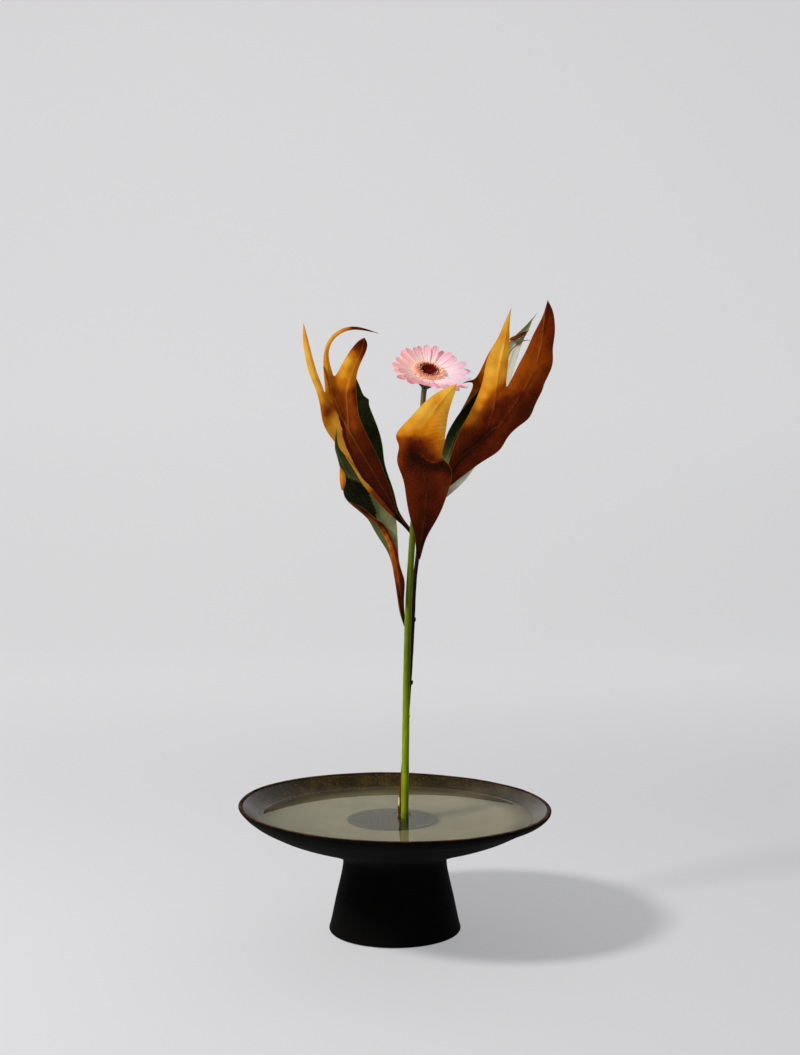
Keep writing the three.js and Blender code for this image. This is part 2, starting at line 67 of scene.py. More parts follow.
HEAD_CENTRE = Vector((27.8, 17, 464))
HEAD_AXIS = Vector((0.19, -0.58, 0.79)).normalized()
PETALS_A_WHORL = 20

# The arrangement is composed for one viewpoint. Leaf outlines are given as they are seen from there in the
# plane y = 0.
VIEWPOINT = Vector((4.2, -1296, 395))


# ---- Modelling helpers -----------------------------------

def pick(*pieces):
    """Leaves edit mode and selects these pieces and nothing else."""
    if bpy.context.object and bpy.context.object.mode != "OBJECT":
        bpy.ops.object.mode_set(mode="OBJECT")
    bpy.ops.object.select_all(action="DESELECT")
    for piece in pieces:
        piece.select_set(True)
    if pieces:
        bpy.context.view_layer.objects.active = pieces[0]


def named(name):
    """Names the object that was just added."""
    piece = bpy.context.object
    piece.name = name
    piece.data.name = name
    return piece


def settle(piece, matrix=None):
    """Puts a piece in its place and leaves that place in its mesh, with the object at the origin."""
    pick(piece)
    if matrix is not None:
        piece.matrix_world = matrix @ piece.matrix_world
    bpy.ops.object.transform_apply(location=True, rotation=True, scale=True)


def refine(piece, kind, **settings):
    """Adds a modifier and applies it."""
    pick(piece)
    modifier = piece.modifiers.new(kind.title(), kind)
    for name, value in settings.items():
        setattr(modifier, name, value)
    bpy.ops.object.modifier_apply(modifier=modifier.name)


def subdivided(piece, levels):
    refine(piece, "SUBSURF", levels=levels, render_levels=levels)


def copied(piece, name):
    """A copy with its own mesh."""
    twin = piece.copy()
    twin.data = piece.data.copy()
    bpy.context.collection.objects.link(twin)
    twin.name = name
    twin.data.name = name
    return twin


def joined(pieces, name):
    pick(*pieces)
    bpy.ops.object.join()
    return named(name)


def face_outwards(piece):
    """Merges doubles and turns every face of a closed body outwards."""
    pick(piece)
    bpy.ops.object.mode_set(mode="EDIT")
    bpy.ops.mesh.select_all(action="SELECT")
    bpy.ops.mesh.remove_doubles(threshold=1e-6)
    bpy.ops.mesh.normals_make_consistent(inside=False)
    bpy.ops.object.mode_set(mode="OBJECT")


def smooth(piece, angle=None):
    pick(piece)
    if angle is None:
        bpy.ops.object.shade_smooth()
    else:
        bpy.ops.object.shade_smooth_by_angle(angle=math.radians(angle))


def select_vertices(piece, wanted):
    """In edit mode, selects the vertices that a test on their place picks, with what lies between them."""
    bpy.ops.mesh.select_mode(type="VERT")
    bpy.ops.mesh.select_all(action="DESELECT")
    body = bmesh.from_edit_mesh(piece.data)
    for vertex in body.verts:
        vertex.select = wanted(vertex.co)
    body.select_flush_mode()
    bmesh.update_edit_mesh(piece.data)


def ring_by_ring(name, profile, around, centre=(0, 0)):
    """A round body raised from a circle, each ring extruded from the last. A radius of 0 closes an end."""
    x, y = centre[0] * MM, centre[1] * MM
    opens_on_axis = profile[0][0] == 0
    rings = [ring for ring in profile if ring[0] > 0]
    radius, height = rings[0]
    pick()
    bpy.ops.mesh.primitive_circle_add(vertices=around, radius=radius * MM, location=(x, y, height * MM))
    body = named(name)
    settle(body)
    bpy.ops.object.mode_set(mode="EDIT")
    bpy.ops.mesh.select_all(action="SELECT")
    for next_radius, next_height in rings[1:]:
        rise = (0, 0, (next_height - height) * MM)
        bpy.ops.mesh.extrude_edges_move(TRANSFORM_OT_translate={"value": rise})
        grow = next_radius / radius
        bpy.ops.transform.resize(value=(grow, grow, 1), center_override=(x, y, next_height * MM))
        radius, height = next_radius, next_height
    if profile[-1][0] == 0:
        close_ring(profile[-1][1] - height)
    if opens_on_axis:
        bpy.ops.mesh.select_all(action="DESELECT")
        bpy.ops.mesh.select_non_manifold()
        close_ring(profile[0][1] - rings[0][1])
    face_outwards(body)
    return body


def close_ring(rise):
    bpy.ops.mesh.extrude_edges_move(TRANSFORM_OT_translate={"value": (0, 0, rise * MM)})
    bpy.ops.mesh.merge(type="CENTER")


def post(name, sides, radius, depth, middle, steps):
    """A thin post whose top is extruded in steps. A step is a rise, a scale and the height of its centre."""
    pick()
    place = (0, 0, middle * MM)
    bpy.ops.mesh.primitive_cylinder_add(vertices=sides, radius=radius * MM, depth=depth * MM, location=place)
    piece = named(name)
    settle(piece)
    bpy.ops.object.mode_set(mode="EDIT")
    select_vertices(piece, lambda co: co.z > middle * MM)
    for rise, grow, height in steps:
        bpy.ops.mesh.extrude_region_move(TRANSFORM_OT_translate={"value": (0, 0, rise * MM)})
        bpy.ops.transform.resize(value=(grow, grow, 1), center_override=(0, 0, height * MM))
    bpy.ops.object.mode_set(mode="OBJECT")
    return piece


def moved(x, y, z):
    """The matrix of a move."""
    return Matrix.Translation(Vector((x, y, z)) * MM)


def turned(angle, axis):
    return Matrix.Rotation(angle, 4, axis)


def raise_row(piece, chain, points):
    """Extrudes a chain of edges and puts its new vertices at the points. A single point closes it."""
    bpy.ops.mesh.select_all(action="DESELECT")
    body = bmesh.from_edit_mesh(piece.data)
    body.verts.ensure_lookup_table()
    for number in chain:
        body.verts[number].select = True
    body.select_flush_mode()
    bpy.ops.mesh.extrude_edges_move()
    body = bmesh.from_edit_mesh(piece.data)
    body.verts.ensure_lookup_table()
    row = []
    for number in chain:
        low = body.verts[number]
        row.append(next(e.other_vert(low) for e in low.link_edges if e.other_vert(low).select))
    if len(points) == 1:
        for vertex in row:
            vertex.co = points[0]
        bmesh.update_edit_mesh(piece.data)
        bpy.ops.mesh.merge(type="CENTER")
        body = bmesh.from_edit_mesh(piece.data)
        layers = body.verts.layers.float
        crease = layers.get("crease_vert") or layers.new("crease_vert")
        for vertex in body.verts:
            if vertex.select:
                vertex[crease] = 1
        return []
    for vertex, point in zip(row, points):
        vertex.co = point
    body.verts.index_update()
    bmesh.update_edit_mesh(piece.data)
    return [vertex.index for vertex in row]


def sheet(name, rows):
    """Starts a thin sheet with a strip of a grid for its first two rows, and raises the others from it."""
    across = len(rows[0])
    pick()
    bpy.ops.mesh.primitive_grid_add(x_subdivisions=across - 1, y_subdivisions=1, size=0.01)
    piece = named(name)
    bpy.ops.object.mode_set(mode="EDIT")
    bpy.ops.mesh.select_mode(type="VERT")
    body = bmesh.from_edit_mesh(piece.data)
    order = sorted(body.verts, key=lambda v: (round(v.co.y, 6), v.co.x))
    for vertex, point in zip(order, rows[0] + rows[1]):
        vertex.co = point
    chain = [vertex.index for vertex in order[across:]]
    bmesh.update_edit_mesh(piece.data)
    for row in rows[2:]:
        chain = raise_row(piece, chain, row)
    return piece, chain


def coordinates(piece):
    """Where the vertices are, in millimetres."""
    places = np.empty(len(piece.data.vertices) * 3)
    piece.data.vertices.foreach_get("co", places)
    return places.reshape(-1, 3) / MM


def move_vertices(piece, places):
    piece.data.vertices.foreach_set("co", (places * MM).ravel())
    piece.data.update()


def store(piece, name, values):
    """Keeps a value a vertex, or one value for them all, for the piece's finish to read."""
    values = np.broadcast_to(np.asarray(values, dtype=np.float32), len(piece.data.vertices))
    attribute = piece.data.attributes.new(name, "FLOAT", "POINT")
    attribute.data.foreach_set("value", values.copy())


def smoothstep(value, low, high):
    share = np.clip((value - low) / (high - low), 0, 1)
    return share * share * (3 - 2 * share)


def wander(places, scale, seed):
    """Smooth noise at each place, from -1 to 1."""
    away = Vector((seed, 2 * seed, 3 * seed))
    return np.array([noise.noise(Vector(place) * scale + away) for place in places])


def rod(name, course, radii, sides=6):
    """A round rod along a course of points, with a radius at each point."""
    pick()
    bpy.ops.curve.primitive_nurbs_path_add()
    path = bpy.context.object
    spline = path.data.splines[0]
    spline.points.add(len(course) - len(spline.points))
    for point, place, radius in zip(spline.points, course, radii):
        point.co = (*(Vector(place) * MM), 1)
        point.radius = radius
    spline.order_u = 3
    spline.use_endpoint_u = True
    path.data.resolution_u = 8
    path.data.bevel_depth = MM
    path.data.bevel_resolution = sides
    path.data.use_fill_caps = True
    bpy.ops.object.convert(target="MESH")
    piece = named(name)
    settle(piece)
    face_outwards(piece)
    return piece


def belongs(piece, slot, *nodes):
    """Attaches a piece to the root body and hides the CAD solids that it stands for. Its slot is not used."""
    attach(piece, "root")
    if nodes:
        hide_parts(*nodes)


# ---- Finishes --------------------------------------------

def shade(red, green, blue):
    """A colour as it looks, 0 to 255, as the light that it gives back."""
    linear = [v / 3294.6 if v < 10.32 else ((v / 255 + 0.055) / 1.055) ** 2.4 for v in (red, green, blue)]
    return (*linear, 1)


class Channel:
    """A socket of a finish. Sums and products of channels add the nodes that work them out."""

    def __init__(self, finish, socket):
        self.finish = finish
        self.socket = socket

    def maths(self, operation, first, second):
        return self.finish.node("Math", {"operation": operation}, {0: first, 1: second})

    def __abs__(self):
        return self.maths("ABSOLUTE", self, 0)


def overload(name, operation):
    """Gives channels an operator and its reflected form."""
    setattr(Channel, f"__{name}__", lambda self, other: self.maths(operation, self, other))
    setattr(Channel, f"__r{name}__", lambda self, other: self.maths(operation, other, self))


overload("add", "ADD")
overload("sub", "SUBTRACT")
overload("mul", "MULTIPLY")
overload("truediv", "DIVIDE")
overload("mod", "FLOORED_MODULO")


class Finish:
    """A material under construction."""

    def __init__(self, name):
        self.material = bpy.data.materials.new(name)
        self.material.use_nodes = True
        self.tree = self.material.node_tree
        self.tree.nodes.clear()
        self.place = self.node("TexCoord", output="Object")

    def node(self, kind, settings=None, inputs=None, output=0):
        """Adds a node: its settings first, then the values or links of its sockets."""
        made = self.tree.nodes.new("ShaderNode" + kind)
        for name, value in (settings or {}).items():
            if name == "stops":
                self.set_stops(made.color_ramp, value)
            else:
                setattr(made, name, value)
        for name, value in (inputs or {}).items():
            if isinstance(value, Channel):
                self.tree.links.new(value.socket, made.inputs[name])
            else:
                made.inputs[name].default_value = value
        return Channel(self, made.outputs[output]) if made.outputs else made

    @staticmethod
    def set_stops(ramp, stops):
        while len(ramp.elements) < len(stops):
            ramp.elements.new(0.5)
        for element, (position, *colour) in zip(ramp.elements, stops):
            element.position = position
            element.color = shade(*colour)

    def stretched(self, x, y, z):
        """The place on the piece, scaled along each axis."""
        return self.node("Mapping", None, {"Vector": self.place, "Scale": (x, y, z)})

    def combined(self, **parts):
        return self.node("CombineXYZ", None, parts)

    def cloud(self, scale, detail=3, roughness=0.5, vector=None):
        """Soft noise, about 0.5 in the middle. The scale is in spots a metre."""
        values = {"Vector": vector or self.place, "Scale": scale, "Detail": detail, "Roughness": roughness}
        return self.node("TexNoise", None, values)

    def cells(self, scale, vector=None, feature="F1"):
        values = {"Vector": vector or self.place, "Scale": scale}
        return self.node("TexVoronoi", {"feature": feature}, values)

    def axis(self, name):
        return self.node("SeparateXYZ", None, {"Vector": self.place}, name)

    def attribute(self, name):
        """A value that was stored in the piece's vertices."""
        return self.node("Attribute", {"attribute_name": name}, None, "Fac")

    def between(self, value, low, high):
        """0 below low, 1 above high, smooth between. It falls instead where low is over high."""
        ends = {"Value": value, "From Min": low, "From Max": high}
        return self.node("MapRange", {"interpolation_type": "SMOOTHSTEP"}, ends)

    def blend(self, factor, first, second):
        return self.node("Mix", {"data_type": "RGBA"}, {0: factor, 6: first, 7: second}, 2)

    def ramp(self, value, *stops):
        """A colour from a value. A stop is a value, and the red, green and blue of its colour."""
        return self.node("ValToRGB", {"stops": stops}, {"Fac": value})

    def relief(self, height, depth, strength):
        """Fine unevenness, as deep as the depth where the height is 1."""
        return self.node("Bump", None, {"Height": height, "Distance": depth * MM, "Strength": strength})

    def skin(self, colour, rough, normal, shine, **more):
        """A plain surface. In the names of further sockets an underscore stands for a space."""
        sockets = {"Base Color": colour, "Roughness": rough, "Specular IOR Level": shine}
        if normal:
            sockets["Normal"] = normal
        sockets.update({name.replace("_", " "): value for name, value in more.items()})
        return self.node("BsdfPrincipled", None, sockets)

    def thin(self, skin, share, colour, normal=None):
        """A skin that lets a share of the light through."""
        sockets = {"Color": colour}
        if normal:
            sockets["Normal"] = normal
        through = self.node("BsdfTranslucent", None, sockets)
        return self.node("MixShader", None, {0: share, 1: skin, 2: through})

    def done(self, surface):
        self.node("OutputMaterial", None, {"Surface": surface})
        return self.material


def stoneware():
    """Dark speckled glaze inside the dish, a rusty bare rim, and black matte stoneware outside."""
    f = Finish("stoneware")
    glaze = f.attribute("glaze")
    rim = f.attribute("rim")
    mottle = f.cloud(42, 5, 0.62)
    grit = f.cloud(900, 2, 0.6)
    fine = f.cloud(2600, 2, 0.6)
    pits = f.between(f.cells(1400), 0.22, 0.05) * f.between(f.cloud(180, 2), 0.5, 0.62)
    flecks = f.between(grit, 0.6, 0.7)
    olive = f.ramp(mottle, (0.3, 30, 22, 6), (0.5, 50, 39, 14), (0.72, 80, 64, 28))
    # Painted light: the glaze is paler below the waterline, standing in for the brightness that the water
    # shows.
    painted_light_under_water = f.between(f.axis("Z"), (WATER_LEVEL - 2) * MM, (WATER_LEVEL - 10) * MM)
    olive = f.blend(painted_light_under_water, olive, f.ramp(mottle, (0.3, 98, 94, 72), (0.7, 116, 110, 86)))
    speckled = f.blend(flecks * 0.5, olive, shade(140, 120, 84))
    speckled = f.blend(f.between(grit, 0.42, 0.32) * 0.5, speckled, shade(24, 18, 10))
    clay = f.ramp(f.cloud(60, 4), (0.3, 5, 5, 4), (0.7, 9, 8, 7))
    clay = f.blend(f.between(fine, 0.58, 0.72) * 0.3, clay, shade(22, 19, 15))
    rust = f.ramp(f.cloud(130, 4), (0.35, 42, 25, 14), (0.65, 94, 61, 40))
    inside = f.between(glaze + (mottle - 0.5) * 0.25, 0.4, 0.6)
    edge = f.between(rim + (mottle - 0.5) * 0.4, 0.35, 0.8)
    colour = f.blend(inside, clay, speckled)
    colour = f.blend(edge, colour, rust)
    rough = 0.82 - inside * 0.48 + edge * 0.1 + (fine - 0.5) * 0.12
    radius = f.node("VectorMath", {"operation": "LENGTH"}, {0: f.stretched(1, 1, 0)}, "Value")
    throwing = f.cloud(1, 2, 0.4, f.combined(X=radius * 420, Z=f.axis("Z") * 420))
    normal = f.relief(throwing * 0.7 + fine * 0.18 + grit * 0.25 - pits * 0.5, 0.35, 0.5)
    coat = {"Coat_Weight": inside * 0.78, "Coat_IOR": 1.3, "Coat_Roughness": 0.22}
    return f.done(f.skin(colour, rough, normal, 0.04, **coat))


WATER_IOR = 1.33


def clear_water():
    """Still water with a dull film on it; lamps shine through it."""
    f = Finish("clear_water")
    ripple = f.relief(f.cloud(28, 2, 0.5), 0.25, 0.22)
    still = {"Roughness": 0.0, "Normal": ripple}
    below = f.node("BsdfRefraction", None, {"Color": (1, 1, 0.94, 1), "IOR": WATER_IOR, **still})
    film = f.node("BsdfGlossy", None, {"Color": (0.72, 0.71, 0.62, 1), **still})
    mirror = f.node("Fresnel", None, {"IOR": WATER_IOR, "Normal": ripple})
    surface = f.node("MixShader", None, {0: mirror, 1: below, 2: film})
    clear = f.node("BsdfTransparent", None, {"Color": (0.93, 0.94, 0.9, 1)})
    lamp_ray = f.node("LightPath", None, None, "Is Shadow Ray")
    return f.done(f.node("MixShader", None, {0: lamp_ray, 1: surface, 2: clear}))


def cast_lead():
    f = Finish("cast_lead")
    bloom = f.cloud(150, 5, 0.6)
    grain = f.cloud(1300, 3, 0.6)
    colour = f.ramp(bloom, (0.3, 40, 41, 32), (0.6, 52, 53, 42), (0.8, 66, 66, 54))
    rough = 0.58 + bloom * 0.25
    normal = f.relief(grain + bloom, 0.18, 0.6)
    return f.done(f.skin(colour, rough, normal, 0.25, Metallic=0.2))


def brass():
    f = Finish("needle_brass")
    age = f.cloud(420, 4, 0.6)
    colour = f.ramp(age, (0.35, 50, 45, 32), (0.6, 72, 64, 44))
    rough = 0.55 + age * 0.2
    normal = f.relief(f.cloud(3000, 2), 0.03, 0.5)
    return f.done(f.skin(colour, rough, normal, 0.25, Metallic=0.25))


def green_stem():
    """Bright ribbed green that turns grey and dull towards the neck, with painted shade on its upper part and
    a painted leaf shadow.
    """
    f = Finish("gerbera_stem")
    height = f.axis("Z")
    fibres = f.cloud(1, 3, 0.55, f.stretched(900, 900, 16))
    patches = f.cloud(45, 3, 0.5)
    across = f.axis("X")
    # Painted shade: the right side of the stem is darker from about 0.17 m up.
    side = f.between(across - f.between(height, 0.3, 0.46) * 0.016, 0.007, 0.0125)
    side = side * f.between(height, 0.17, 0.21)
    fresh = f.ramp(fibres * 0.5 + patches * 0.5, (0.35, 112, 132, 0), (0.6, 158, 182, 8))
    fresh = f.blend(side * 0.6, fresh, shade(50, 58, 0))
    # Painted shade: the stem is darker from about 0.14 m up, among the leaves.
    fresh = f.blend(f.between(height, 0.14, 0.2) * 0.5, fresh, shade(62, 78, 0))
    # Painted shadow: a dark patch on the left half of the stem, where a leaf shades it.
    painted_leaf_shadow = f.between(height, 0.262, 0.272) * f.between(height, 0.31, 0.3)
    painted_leaf_shadow = painted_leaf_shadow * f.between(across, 0.0125, 0.0105)
    fresh = f.blend(painted_leaf_shadow * 0.85, fresh, shade(22, 36, 2))
    neck = f.ramp(fibres, (0.3, 92, 76, 52), (0.7, 128, 104, 76))
    colour = f.blend(f.between(height, 0.385, 0.45), fresh, neck)
    wet = f.between(height, 0.1, 0.0955)
    colour = f.blend(wet * 0.35, colour, shade(58, 74, 10))
    rough = 0.42 + fibres * 0.22 - wet * 0.25
    normal = f.relief(fibres, 0.35, 0.55)
    return f.done(f.skin(colour, rough, normal, 0.12))


def bark():
    """Nearly black wood with pale pores, and a painted highlight on one side near its foot."""
    f = Finish("branch_bark")
    height = f.axis("Z")
    fibres = f.cloud(1, 4, 0.6, f.stretched(700, 700, 60))
    plates = f.cloud(240, 5, 0.65)
    colour = f.ramp(fibres * 0.5 + plates * 0.5, (0.32, 13, 5, 3), (0.5, 27, 10, 6), (0.72, 62, 30, 20))
    pores = f.between(f.cells(520, f.stretched(1, 1, 0.35)), 0.16, 0.06)
    colour = f.blend(pores * 0.5, colour, shade(96, 62, 42))
    # Painted highlight: a pale cream patch on the left side of the branch, just above the water.
    side = f.between(f.axis("X"), 0.0045, 0.0032)
    ragged = height + (plates - 0.5) * 0.006
    painted_highlight = side * f.between(ragged, 0.1, 0.102) * f.between(ragged, 0.109, 0.107)
    colour = f.blend(painted_highlight, colour, shade(232, 205, 165))
    colour = f.blend(f.between(height, 0.131, 0.125) * 0.7 * (1 - painted_highlight), colour, shade(112, 60, 32))
    red = f.between(height, 0.26, 0.36) * 0.5
    colour = f.blend(red, colour, shade(58, 20, 10))
    rough = 0.62 + plates * 0.25
    normal = f.relief(fibres * 0.6 + plates * 0.6 + pores * 0.4, 0.4, 0.7)
    return f.done(f.skin(colour, rough, normal, 0.1))


def calyx_green():
    f = Finish("calyx_green")
    along = f.attribute("along")
    fibres = f.cloud(1, 3, 0.5, f.stretched(700, 700, 90))
    colour = f.ramp(fibres, (0.3, 16, 28, 12), (0.7, 44, 60, 30))
    colour = f.blend(f.between(along, 0.55, 1.0) * 0.5, colour, shade(74, 44, 40))
    normal = f.relief(fibres, 0.2, 0.6)
    return f.done(f.skin(colour, 0.55 + fibres * 0.15, normal, 0.2))


def petal_pink():
    """A creamy claw that turns pink, with the fine parallel veins of a ray floret and a painted highlight on
    the petals at the right.
    """
    f = Finish("ray_petal")
    along = f.attribute("along")
    across = f.attribute("across")
    tint = f.attribute("tint")
    warm = f.attribute("warm")
    stripe = f.cloud(1, 2, 0.5, f.combined(X=across * 9, Y=along * 1.4, Z=tint * 9))
    flush = f.cloud(120, 3, 0.5)
    base = f.ramp(along + (stripe - 0.5) * 0.3 + (flush - 0.5) * 0.2,
                  (0.0, 255, 244, 214), (0.2, 255, 243, 236), (0.55, 252, 226, 230), (0.92, 246, 188, 202))
    base = f.blend(f.between(stripe, 0.54, 0.7) * 0.5, base, shade(232, 132, 160))
    # Painted highlight: the petals on the right side of the head are paler.
    base = f.blend(tint * 0.6, base, shade(248, 236, 246))
    base = f.blend(warm * 0.5, base, shade(246, 208, 186))
    normal = f.relief(stripe + flush * 0.3, 0.15, 0.5)
    # The faint glow is painted light, standing in for light shining through the petals.
    skin = f.skin(base, 0.6 + flush * 0.12, normal, 0.15, Emission_Color=base, Emission_Strength=0.17)
    return f.done(f.thin(skin, 0.35, base, normal))


def floret_peach():
    f = Finish("trans_floret")
    along = f.attribute("along")
    spots = f.cloud(500, 3, 0.5)
    base = f.ramp(along + (spots - 0.5) * 0.3,
                  (0.05, 238, 168, 140), (0.45, 246, 200, 174), (0.95, 254, 230, 208))
    normal = f.relief(spots, 0.12, 0.5)
    # The faint glow is painted light, standing in for light shining through the florets.
    skin = f.skin(base, 0.6 + spots * 0.1, normal, 0.15, Emission_Color=base, Emission_Strength=0.18)
    return f.done(f.thin(skin, 0.3, base))


def floret_maroon():
    f = Finish("disc_floret")
    along = f.attribute("along")
    spots = f.cloud(700, 3, 0.5)
    base = f.ramp(along + (spots - 0.5) * 0.5, (0.2, 92, 12, 9), (0.8, 124, 20, 13), (1.0, 128, 32, 16))
    normal = f.relief(spots, 0.1, 0.5)
    return f.done(f.skin(base, 0.6 + spots * 0.2, normal, 0.06))


# The colours of a leaf's two sides, from the darkest tone to the lightest. The darker tones also serve as
# painted shade and the lighter ones as painted light.
COPPERS = [(0, 38, 4, 0), (0.25, 103, 28, 0), (0.5, 172, 78, 2), (0.75, 232, 140, 18), (1, 255, 196, 70)]
GREENS = [(0, 20, 20, 4), (0.3, 38, 46, 16), (0.6, 96, 108, 56), (0.85, 172, 174, 124), (1, 238, 240, 218)]
VEIN_SPACING = 4.6
VEIN_SLANT = 0.85
VEIN_SHIFT = 31


def leaf_finish(name, colours, tone, vein_light, shine):
    """One side of a leaf: its colour with painted light and shade, the fine side veins that leave the ribs,
    and a silky surface.
    """
    f = Finish(name)
    rib = f.attribute("rib")
    along = f.attribute("along")
    margin = f.attribute("margin")
    tone_with_painted_light = f.attribute("tone") if tone is None else tone
    drift = f.cloud(70, 4, 0.6)
    grain = f.cloud(1, 3, 0.6, f.stretched(700, 700, 350))
    value = (drift - 0.5) * 0.16 + (grain - 0.5) * 0.1 + tone_with_painted_light
    bend = f.cloud(60, 2) * 2.4
    phase = (along - rib * VEIN_SLANT + bend) / VEIN_SPACING % 1
    side_vein = f.between(abs(phase - 0.5), 0.13, 0.0) * f.between(rib, 0.6, 2.5)
    side_vein = side_vein * f.between(margin, 0.2, 2.5)
    net = f.between(f.cells(420, None, "DISTANCE_TO_EDGE"), 0.09, 0.0)
    midrib = f.between(rib, 0.75, 0.35)
    colour = f.ramp(value, *colours)
    lit = f.between(tone_with_painted_light, -0.1, 0.6)
    colour = f.blend(side_vein * lit * 0.07, colour, vein_light)
    colour = f.blend(net * 0.04, colour, vein_light)
    colour = f.blend(midrib * lit * 0.28, colour, vein_light)
    colour = f.blend(f.between(margin, 0.5, 0.12) * 0.35, colour, vein_light)
    rough = shine + (grain - 0.5) * 0.18 + side_vein * 0.08
    height = side_vein * 0.3 + midrib * 0.6 + net * 0.1 + grain * 0.12 + drift * 0.6
    normal = f.relief(height, 0.4, 0.5)
    return f.done(f.thin(f.skin(colour, rough, normal, 0.05), 0.1, colour, normal))


def stage_paint():
    """Pale grey with a faint glow, which grows towards the wall."""
    f = Finish("pale_stage")
    drift = f.cloud(2.2, 2)
    paint = f.blend(drift * 0.05, shade(166, 166, 168), shade(150, 150, 154))
    wash = f.blend(f.between(f.axis("Y"), 0.35, 1.6), shade(210, 210, 212), shade(241, 241, 242))
    return f.done(f.skin(paint, 0.9, None, 0.1, Emission_Color=wash, Emission_Strength=0.52))


# ---- The pedestal bowl -----------------------------------

DISH_INSIDE = [
    (0, DISH_FLOOR), (20, DISH_FLOOR), (42, DISH_FLOOR), (60, DISH_FLOOR), (66, 76.3), (70, 77.1), (75, 78.5),
    (80, 80), (85, 81.8), (90, 83.8), (95, 85.9), (100, 88), (106, 91), (110, 93.1),
    (WATER_RADIUS, WATER_LEVEL), (116.6, 96.9), (120, 99), (123.6, 101.7), (126, 103.7),
]
DISH_RIM = [
    (127, 104.7), (128.1, 105.3), (129.2, 105.2), (RIM_RADIUS, 104.2), (RIM_RADIUS + 0.1, 103.2),
    (129.4, 101.9),
]
DISH_OUTSIDE = [
    (127.2, 99.7), (125, 97.6), (122.4, 96), (120, 94.6), (115, 91.7), (110, 89), (105, 86.4), (100, 83.8),
    (90, 79.8), (80, 76.4), (70, 73.2), (60, 69.4), (50, 65.2), (45.6, 63.1), (44, 61.8),
]
FOOT_OUTSIDE = [
    (43.3, 60), (43.2, 57), (43.6, 52.5), (44.8, 46.7), (46, 41), (48.6, 30.5), (50.8, 20), (52.9, 9.5),
    (54.2, 4.4), (54.8, 2.8), (55, 1.6), (54.7, 0.7), (54, 0.15), (53, 0),
]
FOOT_INSIDE = [
    (51, 0), (49.4, 0.2), (48.6, 0.9), (47.6, 2.4), (46.4, 9.5), (45.2, 19), (43.4, 27.5), (41.6, 36),
    (38, 53), (36, 59), (33, 62), (28, 65), (20, 67.5), (10, 68.7), (0, 69),
]


def make_bowl():
    """The dish and its foot, thrown as one piece: slightly uneven, with its rim lower on the right."""
    profile = DISH_INSIDE + DISH_RIM + DISH_OUTSIDE + FOOT_OUTSIDE + FOOT_INSIDE
    bowl = ring_by_ring("thrown_bowl", profile, 72)
    places = coordinates(bowl)
    radius = np.hypot(places[:, 0], places[:, 1])
    above_inside = places[:, 2] - np.interp(radius, *zip(*DISH_INSIDE))
    store(bowl, "glaze", (np.abs(above_inside) < 0.2) & (radius < DISH_RIM[0][0]))
    store(bowl, "rim", smoothstep(radius, 126.2, 127.6) * (places[:, 2] > 104.4))
    subdivided(bowl, 2)
    places = coordinates(bowl)
    radius = np.hypot(places[:, 0], places[:, 1])
    reach = smoothstep(radius, WATER_RADIUS + 1, RIM_RADIUS)
    side = np.divide(places[:, 0], radius, out=np.zeros_like(radius), where=radius > 0)
    hand = wander(places, 0.022, 5) * 0.5 * reach
    places[:, 2] += hand - RIM_DIP * side * reach
    places[:, :2] *= (1 + 0.0009 * wander(places, 0.012, 9) * (places[:, 2] > 4))[:, None]
    move_vertices(bowl, places)
    smooth(bowl)
    bowl.data.materials.append(stoneware())
    belongs(bowl, "stoneware", "pedestal_bowl")


# How high the water climbs on a stem, and how far from it.
CLIMB = 1.1
CLIMB_REACH = 1.3


def make_water():
    """The water lies in the dish, and climbs a little on the glaze and on the stems."""
    wall = [(r, h) for r, h in DISH_INSIDE if 0 < r < WATER_RADIUS]
    bottom = [(0, DISH_FLOOR - 0.3)] + [(r + 0.2, h - 0.3) for r, h in wall]
    lip = [(1.5, 0.3), (1.6, 0.7), (0.5, 0.4), (-1, 0.12), (-3, 0)]
    edge = [(WATER_RADIUS + out, WATER_LEVEL + up) for out, up in lip]
    top = [(r, WATER_LEVEL) for r in (102, 88, 72, 56, 42, 28, 14, 0)]
    water = ring_by_ring("dish_water", bottom + edge + top, 96)
    pick(water)
    bpy.ops.object.mode_set(mode="EDIT")
    stems = [(Vector((*STEM_FOOT, WATER_LEVEL)), 3.3), (Vector((*BRANCH_FOOT, WATER_LEVEL)), 2.2)]
    for reach in (19, 12):
        select_vertices(water, lambda co: any((co - place * MM).length < reach * MM for place, _ in stems))
        bpy.ops.mesh.subdivide(number_cuts=2)
    bpy.ops.object.mode_set(mode="OBJECT")
    places = coordinates(water)
    on_top = np.abs(places[:, 2] - WATER_LEVEL) < 0.02
    for place, radius in stems:
        away = np.hypot(places[:, 0] - place.x, places[:, 1] - place.y) - radius
        places[:, 2] += on_top * CLIMB * np.exp(-np.clip(away, 0, None) / CLIMB_REACH) * (away > -3)
    move_vertices(water, places)
    smooth(water)
    water.data.materials.append(clear_water())
    belongs(water, "water", "water")


# ---- The pin holder --------------------------------------

